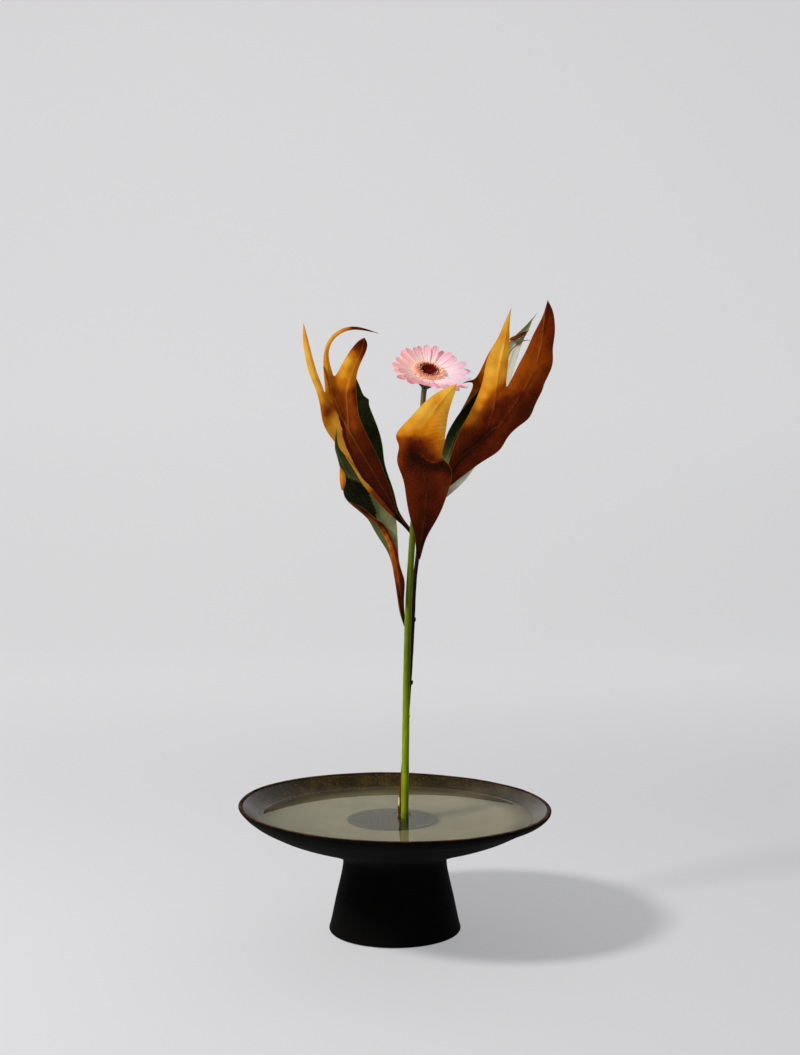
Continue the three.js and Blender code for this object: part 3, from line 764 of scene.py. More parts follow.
def make_kenzan():
    """The cast base and its needles, in staggered rows, with none where the stems stand."""
    bottom, top = DISH_FLOOR + 0.05, DISH_FLOOR + 5.3
    radius = KENZAN_RADIUS
    profile = [
        (0, bottom), (radius - 1.2, bottom), (radius - 0.3, bottom + 0.4), (radius, bottom + 1.2),
        (radius, top - 1.1), (radius - 0.35, top - 0.3), (radius - 1.2, top), (radius - 2.2, top),
        (radius - 2.9, top - 0.5), (radius - 3.6, top - 0.6), (20, top - 0.6), (0, top - 0.6),
    ]
    base = ring_by_ring("kenzan_base", profile, 96, KENZAN_CENTRE)
    smooth(base, 40)
    base.data.materials.append(cast_lead())
    belongs(base, "lead", "kenzan_base")

    root = top - 0.9
    pin = post("pin", 8, 0.7, 4.6, root + 2.3, [(2.2, 0.45, root + 6.8), (0.9, 0.2, root + 7.7)])
    pins = []
    row_spacing = NEEDLE_SPACING * math.sqrt(3) / 2
    bed = NEEDLE_BED_RADIUS - 1
    rows = int(bed / row_spacing)
    for row in range(-rows, rows + 1):
        y = row * row_spacing
        reach = math.sqrt(bed ** 2 - y * y)
        shift = NEEDLE_SPACING / 2 if row % 2 else 0
        first = math.ceil((-reach - shift) / NEEDLE_SPACING)
        last = math.floor((reach - shift) / NEEDLE_SPACING)
        for n in range(first, last + 1):
            place = (KENZAN_CENTRE[0] + n * NEEDLE_SPACING + shift, KENZAN_CENTRE[1] + y)
            near_stem = math.dist(place, STEM_FOOT) < 4.2 or math.dist(place, BRANCH_FOOT) < 3.1
            if not near_stem:
                needle = copied(pin, "needle")
                lean = turned(random.gauss(0, 0.02), "X") @ turned(random.gauss(0, 0.02), "Y")
                foot = moved(0, 0, root)
                needle.data.transform(moved(*place, 0) @ foot @ lean @ foot.inverted())
                pins.append(needle)
    bpy.data.objects.remove(pin)
    needles = joined(pins, "kenzan_pins")
    smooth(needles, 50)
    needles.data.materials.append(brass())
    belongs(needles, "brass_needle", "kenzan_needles")


# ---- The gerbera -----------------------------------------

HEAD_TURN = Vector((0, 0, 1)).rotation_difference(HEAD_AXIS)
HEAD = moved(*HEAD_CENTRE) @ HEAD_TURN.to_matrix().to_4x4()
STEM_COURSE = [
    (*STEM_FOOT, 82), (*STEM_FOOT, 99), (8.6, 7, 130), (9.1, 10, 165), (9.9, 14.4, 220), (11.3, 18.4, 270),
    (13.5, 21.2, 309), (15.9, 23.2, 345), (20.6, 25, 400), (23, 26, 430),
    tuple(HEAD_CENTRE - HEAD_AXIS * 20), tuple(HEAD_CENTRE - HEAD_AXIS * 15),
]
STEM_RADII = [3.25, 3.2, 3.1, 3.0, 2.9, 2.8, 2.7, 2.6, 2.45, 2.3, 2.2, 2.5]


def swell(piece, course, amount, scale, seed, axes):
    """Makes a rod slightly thicker and thinner along its course, across the axes given."""
    places = coordinates(piece)
    thicker = 1 + amount * wander(places, scale, seed)
    for axis in axes:
        middle = np.interp(places[:, 2], [p[2] for p in course], [p[axis] for p in course])
        places[:, axis] = middle + (places[:, axis] - middle) * thicker
    move_vertices(piece, places)


def make_stem():
    stem = rod("gerbera_scape", STEM_COURSE, STEM_RADII, 7)
    swell(stem, STEM_COURSE, 0.03, 0.06, 3, (0,))
    smooth(stem, 60)
    stem.data.materials.append(green_stem())
    belongs(stem, "stem_green", "gerbera_stem")


def blade(name, rows, half_widths, cells=4):
    """A narrow sheet along +X. A row is a length and a height, and each width is spread over the cells."""
    table = []
    for (length, height, hollow, *notches), half in zip(rows, half_widths):
        row = []
        for n in range(cells + 1):
            share = 2 * n / cells - 1
            back = notches[n] if notches else 0
            row.append(Vector((length - back, -share * half, height + hollow * share * share)) * MM)
        table.append(row)
    return sheet(name, table)[0]


def mark_blade(piece, length, half):
    """Stores how far along and how far across the blade each vertex is."""
    places = coordinates(piece)
    store(piece, "along", np.clip(places[:, 0] / length, 0, 1))
    store(piece, "across", places[:, 1] / half)


PETAL_LENGTH = 24.6


def ray_petal():
    """One ray floret: a narrow claw, two shallow grooves, and a tapered tip with three small teeth."""
    lengths = [0, 2, 5, 8.5, 12, 15.5, 18.5, 21, 23, PETAL_LENGTH]
    half_widths = [0.85, 1.1, 1.9, 2.75, 3.35, 3.7, 3.55, 2.95, 2.0, 0.8]
    rows = [(length, 0.0, 0.3) for length in lengths[:-1]]
    rows.append((PETAL_LENGTH, 0.0, 0.15, 1.9, 0.1, 1.4, 0.0, 2.3))
    petal = blade("ray_petal", rows, half_widths)
    pick(petal)
    subdivided(petal, 2)
    places = coordinates(petal)
    half = np.interp(places[:, 0], lengths, half_widths)
    share = places[:, 1] / half
    fade = smoothstep(places[:, 0], 1, 6) * smoothstep(places[:, 0], 25, 21)
    places[:, 2] += 0.1 * np.cos(share * 3 * math.pi) * fade
    move_vertices(petal, places)
    mark_blade(petal, PETAL_LENGTH, 3.85)
    refine(petal, "SOLIDIFY", thickness=0.32 * MM, offset=0)
    smooth(petal, 70)
    return petal


def curved(piece, droop, lift, twist, scale):
    """Bends a blade along its length: lifted at its claw and drooping towards its tip."""
    places = coordinates(piece)
    x = places[:, 0] * scale
    share = np.clip(x / PETAL_LENGTH, 0, None)
    z = places[:, 2] + math.tan(lift) * x - droop * share ** 2.6
    turn = twist * share
    y = places[:, 1] * np.cos(turn) - places[:, 2] * np.sin(turn)
    z = z + places[:, 1] * np.sin(turn)
    shorten = 1 - 0.3 * (droop / PETAL_LENGTH) ** 2 * share
    move_vertices(piece, np.stack([x * shorten, y, z], axis=1))


# A whorl is its name, where its claws start, its height, its turn in petals, its scale and how far it lifts.
WHORLS = [("outer_petal", 9.0, -1.3, 0.0, 1.0, 0.12), ("inner_petal", 8.6, 0.1, 0.5, 0.95, 0.19)]
# How much longer or shorter the petals are on each side of the head.
RIGHT_STRETCH = 0.16
LEFT_STRETCH = -0.05
BACK_STRETCH = 0.07
FRONT_STRETCH = -0.1
# The petals about this angle curl up.
FRONT_ANGLE = 268
FRONT_SPREAD = 40
FRONT_RISE = 9


def make_petals(finish):
    """Whorls of copies of one petal, each with a droop, a twist, a lean, and its own strength of painted
    highlight or warmth.
    """
    petal = ray_petal()
    petal.data.materials.append(finish)
    for whorl, claw, height, turn, scale, lift in WHORLS:
        for n in range(PETALS_A_WHORL):
            angle = 2 * math.pi * (n + turn) / PETALS_A_WHORL
            left = max(0, -math.cos(angle))
            right = max(0, math.cos(angle))
            stretch = math.cos(angle) ** 2 * (RIGHT_STRETCH if right else LEFT_STRETCH)
            stretch += math.sin(angle) ** 2 * (BACK_STRETCH if math.sin(angle) > 0 else FRONT_STRETCH)
            rise = FRONT_RISE * math.exp(-((math.degrees(angle) - FRONT_ANGLE) / FRONT_SPREAD) ** 2)
            ray = copied(petal, f"{whorl}_{n + 1:02d}_ray")
            droop = random.uniform(0.2, 1.6) - rise
            length = scale * random.uniform(0.92, 1.06) * (1 + stretch)
            raised = lift + 0.06 * max(0, math.sin(angle))
            curved(ray, droop, raised + random.gauss(0, 0.022), random.gauss(0, 0.17), length)
            # Petals on the right side get a painted highlight.
            store(ray, "tint", right * random.uniform(0.6, 1))
            store(ray, "warm", left * random.uniform(0.6, 1))
            around = turned(angle + random.gauss(0, 0.03), "Z")
            lean = turned(random.gauss(0, 0.1), "X")
            out = moved(claw, 0, height + random.uniform(-0.25, 0.25))
            ray.data.transform(HEAD @ around @ out @ lean)
            belongs(ray, "petal_pink", f"{whorl}_{n + 1:02d}")
    bpy.data.objects.remove(petal)


def florets(name, one, rings, finish):
    """Copies of one floret round the head. A ring is a count, a radius, a height, a tilt and a size."""
    made = []
    for count, radius, height, tilt, size in rings:
        for n in range(count):
            angle = 2 * math.pi * (n + random.uniform(-0.22, 0.22)) / count + radius
            floret = copied(one, "floret")
            pitch = turned(-tilt + random.gauss(0, 0.09), "Y")
            short = 1 - (0.38 if math.sin(angle) < 0 else 0.24) * math.sin(angle) ** 2
            grow = Matrix.Scale(size * short * random.uniform(0.88, 1.1), 4)
            out = moved(radius + random.uniform(-0.25, 0.25), 0, height)
            roll = turned(random.gauss(0, 0.15), "X")
            floret.data.transform(HEAD @ turned(angle, "Z") @ out @ pitch @ roll @ grow)
            made.append(floret)
    bpy.data.objects.remove(one)
    group = joined(made, name)
    smooth(group, 60)
    group.data.materials.append(finish)
    return group


TRANS_RINGS = [
    (54, 9.7, 1.9, 0.1, 1.0), (48, 9.2, 2.3, 0.34, 0.9), (42, 8.8, 2.5, 0.7, 0.74), (36, 8.3, 2.3, 1.3, 0.6),
    (36, 7.9, 2.1, 1.95, 0.52),
]
CUSHION = [
    (0, -0.8), (9.6, -0.8), (13.4, 0.9), (13.2, 1.7), (10.4, 1.8), (8.2, 1.9), (6.6, 1.3), (3, 0.4), (0, 0.2),
]
DISC_FLORETS = 104
GOLDEN_ANGLE = math.radians(137.508)


def make_disc():
    """Small tongues round a mound of dark buds."""
    tongue = blade("tongue", [(0, 0, 0.2), (1.6, 0.1, 0.3), (3.4, 0.25, 0.3), (5, 0.2, 0.15, 0.6, 0, 0.6)],
                   [0.5, 0.72, 0.76, 0.5], 2)
    pick(tongue)
    subdivided(tongue, 1)
    mark_blade(tongue, 5, 0.76)
    refine(tongue, "SOLIDIFY", thickness=0.28 * MM, offset=0)
    peach = floret_peach()
    belongs(florets("trans_florets", tongue, TRANS_RINGS, peach), "ring_peach", "trans_floret_ring")

    bed = ring_by_ring("disc_bed", CUSHION, 40)
    subdivided(bed, 1)
    store(bed, "along", 0.3)
    bed.data.transform(HEAD)
    smooth(bed)
    bed.data.materials.append(peach)
    belongs(bed, "ring_peach")

    top = 2.7
    bud = post("bud", 6, 0.42, 1.4, 0.5, [(0.7, 1.35, 1.9), (0.8, 0.3, top)])
    store(bud, "along", np.clip(coordinates(bud)[:, 2] / top, 0, 1))
    buds = []
    for n in range(DISC_FLORETS):
        radius = 0.72 * math.sqrt(n + 0.4)
        floret = copied(bud, "floret")
        lean = turned(0.06 * radius + random.gauss(0, 0.08), "Y")
        size = Matrix.Scale(0.95 + 0.05 * radius, 4)
        mound = 0.1 + 0.045 * radius * radius - 0.0035 * radius ** 3
        around = turned(n * GOLDEN_ANGLE, "Z")
        floret.data.transform(HEAD @ around @ moved(radius, 0, mound) @ lean @ size)
        buds.append(floret)
    bpy.data.objects.remove(bud)
    disc = joined(buds, "disc_florets")
    smooth(disc, 60)
    disc.data.materials.append(floret_maroon())
    belongs(disc, "disc_maroon", "gerbera_disc")


CUP = [(0, -15.7), (2.3, -15.7), (4.2, -13.9), (6, -10.7), (7.2, -6.7), (8.8, -3.7), (8.6, -2.2), (0, -2.0)]
BRACT_RINGS = [(12, 3.4, -14.7, 0.92, 0.74), (15, 5.5, -12.3, 1.02, 0.9), (18, 7.1, -10.1, 1.04, 0.96)]


def make_calyx():
    """A green cup under the head, clad with three rings of bracts."""
    body = ring_by_ring("calyx_cup", CUP, 32)
    subdivided(body, 1)
    store(body, "along", 0)
    body.data.transform(HEAD)
    smooth(body)
    finish = calyx_green()
    body.data.materials.append(finish)
    belongs(body, "calyx_green", "gerbera_calyx")

    bract = blade("bract", [(0, 0, -0.3), (3, 0.25, -0.4), (6, 0.3, -0.35), (9, 0.15, -0.2), (11, 0, 0)],
                  [0.9, 1.35, 1.2, 0.75, 0.08], 2)
    pick(bract)
    subdivided(bract, 1)
    mark_blade(bract, 11, 1.35)
    refine(bract, "SOLIDIFY", thickness=0.3 * MM, offset=0)
    made = []
    for count, radius, height, tilt, size in BRACT_RINGS:
        for n in range(count):
            angle = 2 * math.pi * (n + random.uniform(-0.15, 0.15)) / count + radius
            copy = copied(bract, "bract")
            pitch = turned(-tilt + random.gauss(0, 0.05), "Y") @ turned(math.pi, "X")
            out = turned(angle, "Z") @ moved(radius, 0, height)
            copy.data.transform(HEAD @ out @ pitch @ Matrix.Scale(size, 4))
            made.append(copy)
    bpy.data.objects.remove(bract)
    bracts = joined(made, "calyx_bracts")
    smooth(bracts, 60)
    bracts.data.materials.append(finish)
    belongs(bracts, "calyx_green")


# ---- The branch ------------------------------------------

BRANCH_COURSE = [
    (*BRANCH_FOOT, 82), (*BRANCH_FOOT, 99), (6.6, 15.4, 122), (8.8, 20.4, 154), (11, 25.2, 188),
    (13.4, 28.8, 222), (15, 30.8, 256), (16.4, 30.8, 290), (19, 28.6, 309), (20.6, 31, 330),
    (21.6, 33.2, 352), (22.2, 34.6, 372),
]
BRANCH_RADII = [2.1, 2.1, 2.05, 2.0, 1.95, 1.9, 1.85, 1.8, 1.75, 1.7, 1.65, 1.3]
BUDS = [(16.6, 30.6, 255.5), (14.2, 27.2, 202.5), (11.4, 23.4, 174.2), (4.3, 10.4, 104)]
BUD_PROFILE = [(0, -2.2), (0.7, -1.9), (1.15, -1), (1.2, 0), (0.9, 1.2), (0.4, 2.2), (0, 2.6)]
# A leaf stalk starts inside the branch and ends at the foot of its leaf.
STALKS = [
    ((20, 29.8, 322), (17.4, 32.6, 326.4)),
    ((20.8, 31.2, 332), (17.5, 36, 328)),
    ((14.4, 30.1, 244), (10.4, 36.4, 249.6)),
    ((18.3, 29.2, 304), (19.6, 25.6, 309)),
    ((21.4, 32.9, 348), (25.3, 31.6, 353)),
    ((21.7, 33.5, 357), (25.1, 32.4, 362)),
    ((21.3, 32.7, 346), (25.2, 37.6, 352)),
    ((22.1, 34.3, 366), (24.8, 35.4, 371)),
]
STALK_RADII = [1.3, 1.05, 0.9, 0.85, 0.9]


def make_branch():
    """The wood of the branch, knotty, with its buds and the stalks of its leaves."""
    branch = rod("leaf_branch_wood", BRANCH_COURSE, BRANCH_RADII, 6)
    swell(branch, BRANCH_COURSE, 0.07, 0.11, 8, (0, 1))
    pieces = [branch]
    for place in BUDS:
        bud = ring_by_ring("twig_bud", BUD_PROFILE, 10)
        subdivided(bud, 1)
        bud.data.transform(moved(*place) @ turned(-0.5, "X") @ turned(0.3, "Y"))
        pieces.append(bud)
    for foot, leaf in STALKS:
        course = [Vector(foot).lerp(Vector(leaf), share) for share in (0, 0.25, 0.5, 0.75, 1)]
        pieces.append(rod("leaf_stalk", course, STALK_RADII, 3))
    wood = joined(pieces, "branch_wood")
    smooth(wood, 60)
    wood.data.materials.append(bark())
    belongs(wood, "bark", "leaf_branch")


# ---- The leaves ------------------------------------------

# A leaf's palm is a list of rows from the petiole up: a depth, then points from its left margin to its right,
# with a point on each line between lobes where it has more than two. A lobe goes on from the palm's last row
# to its tip. Ribs are lines of points, the first one the midrib. A tone is a point, and how light the leaf
# looks
# there: its own colour together with painted light where the light falls on it, and painted shade and shadow.
# A fold is a line, and for each side of it a reach, the tone next to it, and how steeply the blade bends
# back;
# the tones beside a fold paint shade or light along it.
LEFT, RIGHT = 1, -1
LEAVES = {
    "left_front_leaf": {
        "side": "copper", "belly": 0.1,
        "palm": [
            [32.6, (16.8, 325.4), (18, 327.4)], [31, (8.4, 335.2), (9.6, 337.2)],
            [28, (4.2, 339.2), (5.6, 342)], [25, (0.8, 342), (1.8, 347)], [20.5, (-4, 346.2), (0.4, 353)],
            [15, (-11, 352.8), (-2.4, 362)], [9, (-20, 363), (-5.4, 372)], [4, (-28, 372.6), (-9.4, 383)],
            [-2, (-37, 389), (-13, 392)], [-8, (-45, 401), (-19, 404)], [-13, (-54, 411), (-25, 416)],
            [-17, (-60, 422), (-54, 424), (-42, 428), (-30, 427)],
            [-20, (-61, 434), (-56, 435), (-46, 443), (-31, 437)],
            [-23, (-63, 443), (-57, 444), (-50, 458), (-32, 450)],
        ],
        "lobes": [
            [[-24, (-66, 452), (-59.5, 452)], [-25.5, (-71, 463), (-63.5, 461)],
             [-26, (-73.5, 476), (-67, 473)], [-26, (-76, 489), (-70.5, 487)], [-24, (-75, 504)]],
            [[-24, (-57.6, 454), (-51.5, 463)], [-25, (-59, 466), (-53.5, 470)],
             [-26, (-59, 477), (-55, 478)], [-27, (-56, 489), (-53, 487)],
             [-27, (-48, 497.5), (-46.5, 494.5)], [-25, (-37, 501.5), (-37, 498.5)],
             [-22, (-26, 500), (-26.5, 498)], [-19, (-13, 495)]],
            [[-22, (-45, 467), (-32, 460)], [-21.5, (-39, 478), (-29, 470)],
             [-20, (-33, 486), (-23.5, 480)], [-17, (-29, 490), (-22, 487)], [-16, (-25, 491.6)]],
        ],
        "ribs": [
            [(17, 326), (1, 348), (-8, 365), (-20, 385), (-32, 405), (-43, 425), (-52, 446), (-55, 465),
             (-57, 480), (-52, 491), (-40, 499), (-26, 499)],
            [(-43, 425), (-58, 440), (-66, 462), (-72, 485), (-75, 504)],
            [(-38, 416), (-40, 445), (-34, 465), (-27, 481), (-25, 490)],
        ],
        "tones": [
            (17, 326, -0.2), (10, 336, -0.05), (0, 350, 0.08), (-12, 372, 0.14), (-20, 390, 0.2),
            (-30, 405, 0.27), (-18, 396, 0.1), (-24, 412, 0.26), (-38, 420, 0.36), (-52, 416, 0.9),
            (-58, 424, 0.62), (-60, 432, 0.6), (-55, 430, 0.26), (-50, 428, 0.22), (-45, 425, 0.26),
            (-36, 430, 0.4), (-32, 426, 0.3), (-60, 441, 0.9), (-64, 450, 0.97), (-68, 462, 0.98),
            (-72, 480, 0.97), (-75, 500, 0.85), (-54, 442, 0.66), (-50, 446, 0.42), (-46, 438, 0.45),
            (-56, 456, 0.6), (-56, 470, 0.8), (-54, 490, 0.85), (-46, 496, 0.88), (-39, 499, 0.8),
            (-34, 499, 0.05), (-20, 497, 0.0), (-44, 452, 0.62), (-42, 462, 0.88), (-38, 452, 0.7),
            (-38, 472, 1.0), (-34, 478, 0.7), (-31, 483, 0.24), (-26, 488, 0.1), (-27, 478, 0.22),
            (-31, 470, 0.6), (-32.6, 448, 0.14), (-33, 440, 0.14), (-36, 440, 0.5), (-40, 445, 0.4),
        ],
        # The first two folds paint light along the lower left margin, where it turns towards the light, with
        # painted shade beside it.
        "folds": [
            ([(9, 337), (-0.3, 345.4), (-9.5, 357), (-18.8, 368), (-28, 377.6), (-33.8, 388),
              (-37.2, 396.2), (-40.7, 403.1), (-43, 410), (-43.6, 417), (-45.3, 422.7)],
             (LEFT, 14, 0.86, -0.12), (RIGHT, 4, 0.12, 0.0)),
            ([(5, 340.8), (-0.3, 345.4), (-9.5, 357), (-12, 360)], (LEFT, 16, 0.4, -0.12),
             (RIGHT, 4, 0.06, 0.0)),
            ([(18, 326), (12, 333), (5, 341)], (LEFT, 9, -0.15, 0.0), (RIGHT, 9, -0.15, 0.0)),
        ],
    },
    "left_back_leaf": {
        "side": "green", "belly": -0.12,
        "palm": [
            [36, (16.8, 327), (18.2, 329)], [35.4, (8.4, 336), (9.8, 338.4)],
            [33.8, (3, 343.6), (4.6, 346.4)], [31.4, (-0.6, 348.6), (1.8, 352.6)],
            [29, (-6, 358), (-0.2, 364)], [26, (-14, 369), (-4.6, 376)], [22, (-24, 383), (-9.2, 389)],
            [18, (-32, 398), (-9.6, 402)], [14, (-41, 415), (-13, 416)], [11, (-45, 430), (-19, 430)],
            [9.6, (-46, 438), (-22, 438)], [9.4, (-46, 441), (-20.6, 441.4)],
            [9, (-45.6, 444), (-26, 443.4)], [9, (-44, 450), (-28, 450)],
        ],
        "lobes": [[[9.4, (-40, 460), (-32, 459)], [10, (-37, 470)]]],
        "ribs": [[(17, 328), (4, 345), (-8, 367), (-20, 395), (-29, 420), (-36, 445), (-37, 468)]],
        "tones": [
            (0, 360, 0.2), (-5, 385, 0.06), (-12, 410, 0.04), (-25, 440, 0.1), (-35, 465, 0.1),
            (-30, 400, 0.05),
        ],
    },
    "left_low_leaf": {
        "side": "green", "belly": 0.1,
        "palm": [
            [36.4, (9.6, 248.6), (11.2, 250.6)], [34.4, (6.6, 256.4), (8.4, 258.4)],
            [32.6, (3.4, 266), (7.5, 268)], [31, (2, 278), (7.5, 279)], [29.6, (0, 291), (8.6, 290.4)],
            [29, (-1, 297), (6.4, 297)], [28.4, (-2.4, 306), (3.1, 307)], [28, (-6.2, 316.6), (2.5, 319.3)],
            [27.6, (-13, 326), (2, 331)], [27.4, (-18.6, 335.6), (1.2, 345)],
            [26, (-21.8, 343), (-4.4, 351.6)], [23, (-34, 352.6), (-10.4, 359)],
            [20, (-42, 359.4), (-16, 365)], [16, (-43, 368), (-21.6, 372.4)],
            [10, (-44, 380), (-29.6, 384)], [4, (-46.4, 389), (-38.6, 392.6)],
            [-3, (-48, 395.5), (-43.4, 398)], [-13.4, (-50.4, 402), (-48, 403.6)],
        ],
        "lobes": [[[-25, (-48, 418)]]],
        "ribs": [
            [(10, 250), (5, 280), (1, 310), (-6, 330), (-18, 350), (-33, 370), (-42, 385), (-49, 401),
             (-48, 418)],
        ],
        "tones": [
            (10, 250, 0.5), (5, 280, 0.62), (6, 292, 0.7), (4, 304, 0.7), (-3, 310, 0.5), (-8, 322, 0.45),
            (-15, 332, 0.3), (1, 320, 0.82), (0, 332, 0.84), (-3, 342, 0.84), (-10, 342, 0.7),
            (-8, 351, 0.8), (-14, 358, 0.74), (-20, 366, 0.62), (-27, 376, 0.56), (-34, 360, 0.0),
            (-30, 365, 0.02), (-40, 370, 0.02), (-36, 384, 0.54), (-42, 390, 0.5), (-44, 386, 0.42),
            (-48, 398, 0.4), (-49, 408, 0.3),
        ],
        # The first fold and the darkest tones mark a painted shadow cast by the front left leaf.
        "folds": [
            ([(-44, 380), (-39.9, 377.3), (-28.2, 371.7), (-21.9, 364.8), (-19, 357.2), (-16.2, 350.9),
              (-15.7, 345.2)], (LEFT, 5, 0.62, 0.0), (RIGHT, 30, 0.0, 0.0)),
            ([(-46, 362), (-32.4, 353), (-21.4, 343.4), (-12.3, 338.5), (-5, 322), (0, 300), (3, 280)],
             (RIGHT, 22, 0.54, 0.0)),
        ],
    },
    "centre_front_leaf": {
        "side": "copper", "belly": 0.1,
        "palm": [
            [25.6, (18.4, 309), (20.8, 309)], [22, (17.4, 319), (23, 318)], [18, (16.6, 328), (25.6, 327)],
            [13, (14, 338), (31, 336)], [8, (11, 349), (38, 348)], [2, (9, 362), (43, 362)],
            [-4, (7.6, 374), (46.6, 374)], [-8, (4.2, 382), (47.8, 381)], [-10, (1.6, 389), (44.4, 388.4)],
            [-13, (1.8, 395), (37.6, 393.4)], [-15.4, (3.8, 401.6), (39.8, 402)],
            [-16, (2.6, 405.4), (40.8, 406)], [-17, (0, 411), (41.2, 411)], [-17.4, (3, 416), (42, 416)],
            [-17.6, (8.6, 422), (42.8, 422)], [-17.4, (14.6, 428), (43.6, 428)],
            [-17.2, (21, 435.4), (45.4, 435)], [-16.6, (28, 442), (47.9, 442)],
            [-15, (39, 449.6), (50, 448)],
        ],
        "lobes": [[[-13, (51, 453.8)]]],
        "ribs": [
            [(19.6, 309), (22, 325), (25, 345), (26, 365), (23, 385), (18, 398), (19, 408), (22, 413),
             (25, 420), (34, 434), (43, 445), (51, 453)],
        ],
        "tones": [
            (18, 305, 0.0), (20, 318, 0.0), (22, 330, 0.04), (26, 345, 0.06), (14, 348, 0.2),
            (36, 350, 0.2), (12, 362, 0.26), (40, 365, 0.28), (27, 362, 0.12), (27, 374, 0.16),
            (16, 375, 0.28), (38, 375, 0.3), (8, 380, 0.26), (5, 387, 0.3), (2, 391, 0.4), (12, 386, 0.08),
            (20, 384, 0.1), (6, 396, 0.3), (3, 403, 0.4), (2, 408, 0.3), (12, 394, 0.0), (18, 392, 0.0),
            (14, 401, 0.02), (19, 399, 0.04), (12, 408, 0.2), (20, 406, 0.14), (6, 409.6, 0.5),
            (26, 406, 0.36), (24, 399, 0.16), (30, 400, 0.42), (30, 393, 0.2), (36, 402, 0.72),
            (38, 396, 0.6), (32, 408, 0.62), (40, 410, 0.85), (26, 413, 0.75), (20, 412, 0.62),
            (12, 413, 0.85), (4, 413, 0.97), (10, 418, 0.97), (20, 419, 0.9), (32, 417, 0.78),
            (40, 418, 0.92), (20, 430, 1.0), (34, 432, 0.86), (36, 439, 0.8), (44, 446, 1.0),
            (28, 434, 0.97),
        ],
        # The fold and the darkest tones paint a band of shadow across the leaf; the gold above it is painted
        # light.
        "folds": [
            ([(20, 396), (24.8, 391.6), (29.8, 388.6), (34, 389), (38.8, 391), (43, 389), (48, 385)],
             (LEFT, 2.5, 0.3, 0.0), (RIGHT, 11, 0.02, 0.0)),
        ],
    },
    "right_front_leaf": {
        "side": "copper", "belly": 0.1,
        "palm": [
            [31.6, (24.6, 354), (26, 352)], [23, (33, 363.6), (35, 360)], [15, (39.6, 374.6), (45, 369.4)],
            [8, (44.4, 388), (60, 381)], [4, (47, 399), (73, 391)], [0, (51.6, 411), (87.6, 398.4)],
            [-2, (55, 418), (91.6, 409.4)], [-4, (59.6, 426), (101, 418.8)],
            [-6, (63, 433), (111.6, 425.2)], [-8, (67, 441), (86, 436), (114.4, 434.6)],
            [-9.6, (70, 449), (88.6, 442.6), (118, 442)], [-11, (73, 457), (91, 449), (121.6, 448.4)],
        ],
        "lobes": [
            [[-13, (74, 468), (92, 461)], [-15, (78, 481), (93.4, 473)], [-16, (85, 491), (94.6, 486)],
             [-16, (89.4, 503), (93.8, 501)], [-15, (92.4, 509), (94.8, 508.6)], [-14, (95.6, 516)]],
            [[-11, (94, 454), (122.6, 454)], [-11, (96.6, 459), (126.4, 460.6)],
             [-11, (102.4, 471), (130.4, 471)], [-10, (108, 481), (129.4, 481)],
             [-9, (111, 488), (130.4, 487.6)], [-8, (114, 495), (131.8, 496.6)],
             [-6, (118.4, 503), (131.4, 504.6)], [-4, (122, 510), (130.2, 514)], [-2, (125.4, 522.4)]],
        ],
        "ribs": [
            [(25, 353), (34, 362), (51, 390), (69, 405.5), (79, 415), (86, 419), (100, 439), (115.6, 466),
             (121, 490), (124, 521)],
            [(74, 410), (81, 432), (85, 460), (90, 485), (95, 512)],
        ],
        "tones": [
            (26, 353, 0.08), (46, 378, 0.1), (55, 388, 0.1), (60, 398, 0.06), (72, 396, 0.24),
            (68, 408, 0.0), (62, 385, 0.22), (78, 414, 0.02), (58, 412, 0.2), (64, 416, 0.26),
            (75, 425, 0.14), (84, 404, 0.26), (90, 412, 0.2), (62, 423, 0.66), (66, 426, 0.78),
            (69, 435, 0.88), (73, 444, 0.92), (78, 452, 0.9), (84, 455, 0.85), (70, 424, 0.36),
            (74, 431, 0.34), (79, 438, 0.36), (84, 444, 0.4), (88, 449, 0.4), (80, 429, 0.12),
            (86, 436, 0.14), (92, 440, 0.18), (90, 427, 0.1), (102, 430, 0.12), (96, 420, 0.16),
            (110, 436, 0.14), (104, 442, 0.16), (116, 446, 0.16), (94, 447, 0.34), (98, 452, 0.42),
            (80, 465, 0.97), (88, 480, 0.97), (92, 505, 0.92), (88, 462, 0.85), (104, 462, 0.4),
            (106, 452, 0.34), (112, 470, 0.44), (124, 465, 0.27), (122, 476, 0.31), (113, 484, 0.36),
            (120, 490, 0.33), (128, 490, 0.22), (126, 502, 0.24), (125, 518, 0.08),
        ],
        # The fold paints a dark line of shade along a crease.
        "folds": [
            ([(46, 381), (57, 396), (67, 404.5), (79, 415), (84, 420)], (LEFT, 3.4, 0.03, 0.0),
             (RIGHT, 2.6, 0.03, 0.0)),
        ],
    },
    "right_inner_leaf": {
        "side": "green", "belly": -0.1,
        "palm": [
            [32.4, (24.4, 363), (25.8, 361)], [24, (31, 374.6), (34, 371.6)], [18, (38, 390), (46, 385)],
            [14, (40.4, 405), (54, 399)], [11, (44, 416), (61, 411)], [8.6, (53, 430), (69, 424)],
            [6.6, (63, 442), (75, 438)],
        ],
        "lobes": [[[5, (76, 457)]]],
        "ribs": [[(25, 362), (32, 373), (42, 390), (50, 410), (62, 430), (70, 443), (76, 457)]],
        "tones": [
            (40, 392, 0.85), (42, 398, 0.6), (47, 404, 0.4), (48, 412, 0.3), (56, 422, 0.22),
            (62, 434, 0.1), (68, 442, 0.12),
        ],
    },
    "right_back_leaf": {
        "side": "green", "belly": -0.12,
        "palm": [
            [37.6, (24.6, 353), (25.8, 350.8)], [38.4, (33, 359.6), (35.6, 354.6)],
            [38.4, (38, 369), (48, 365)], [38, (42, 381), (57.4, 373)], [37, (48, 395), (67, 387)],
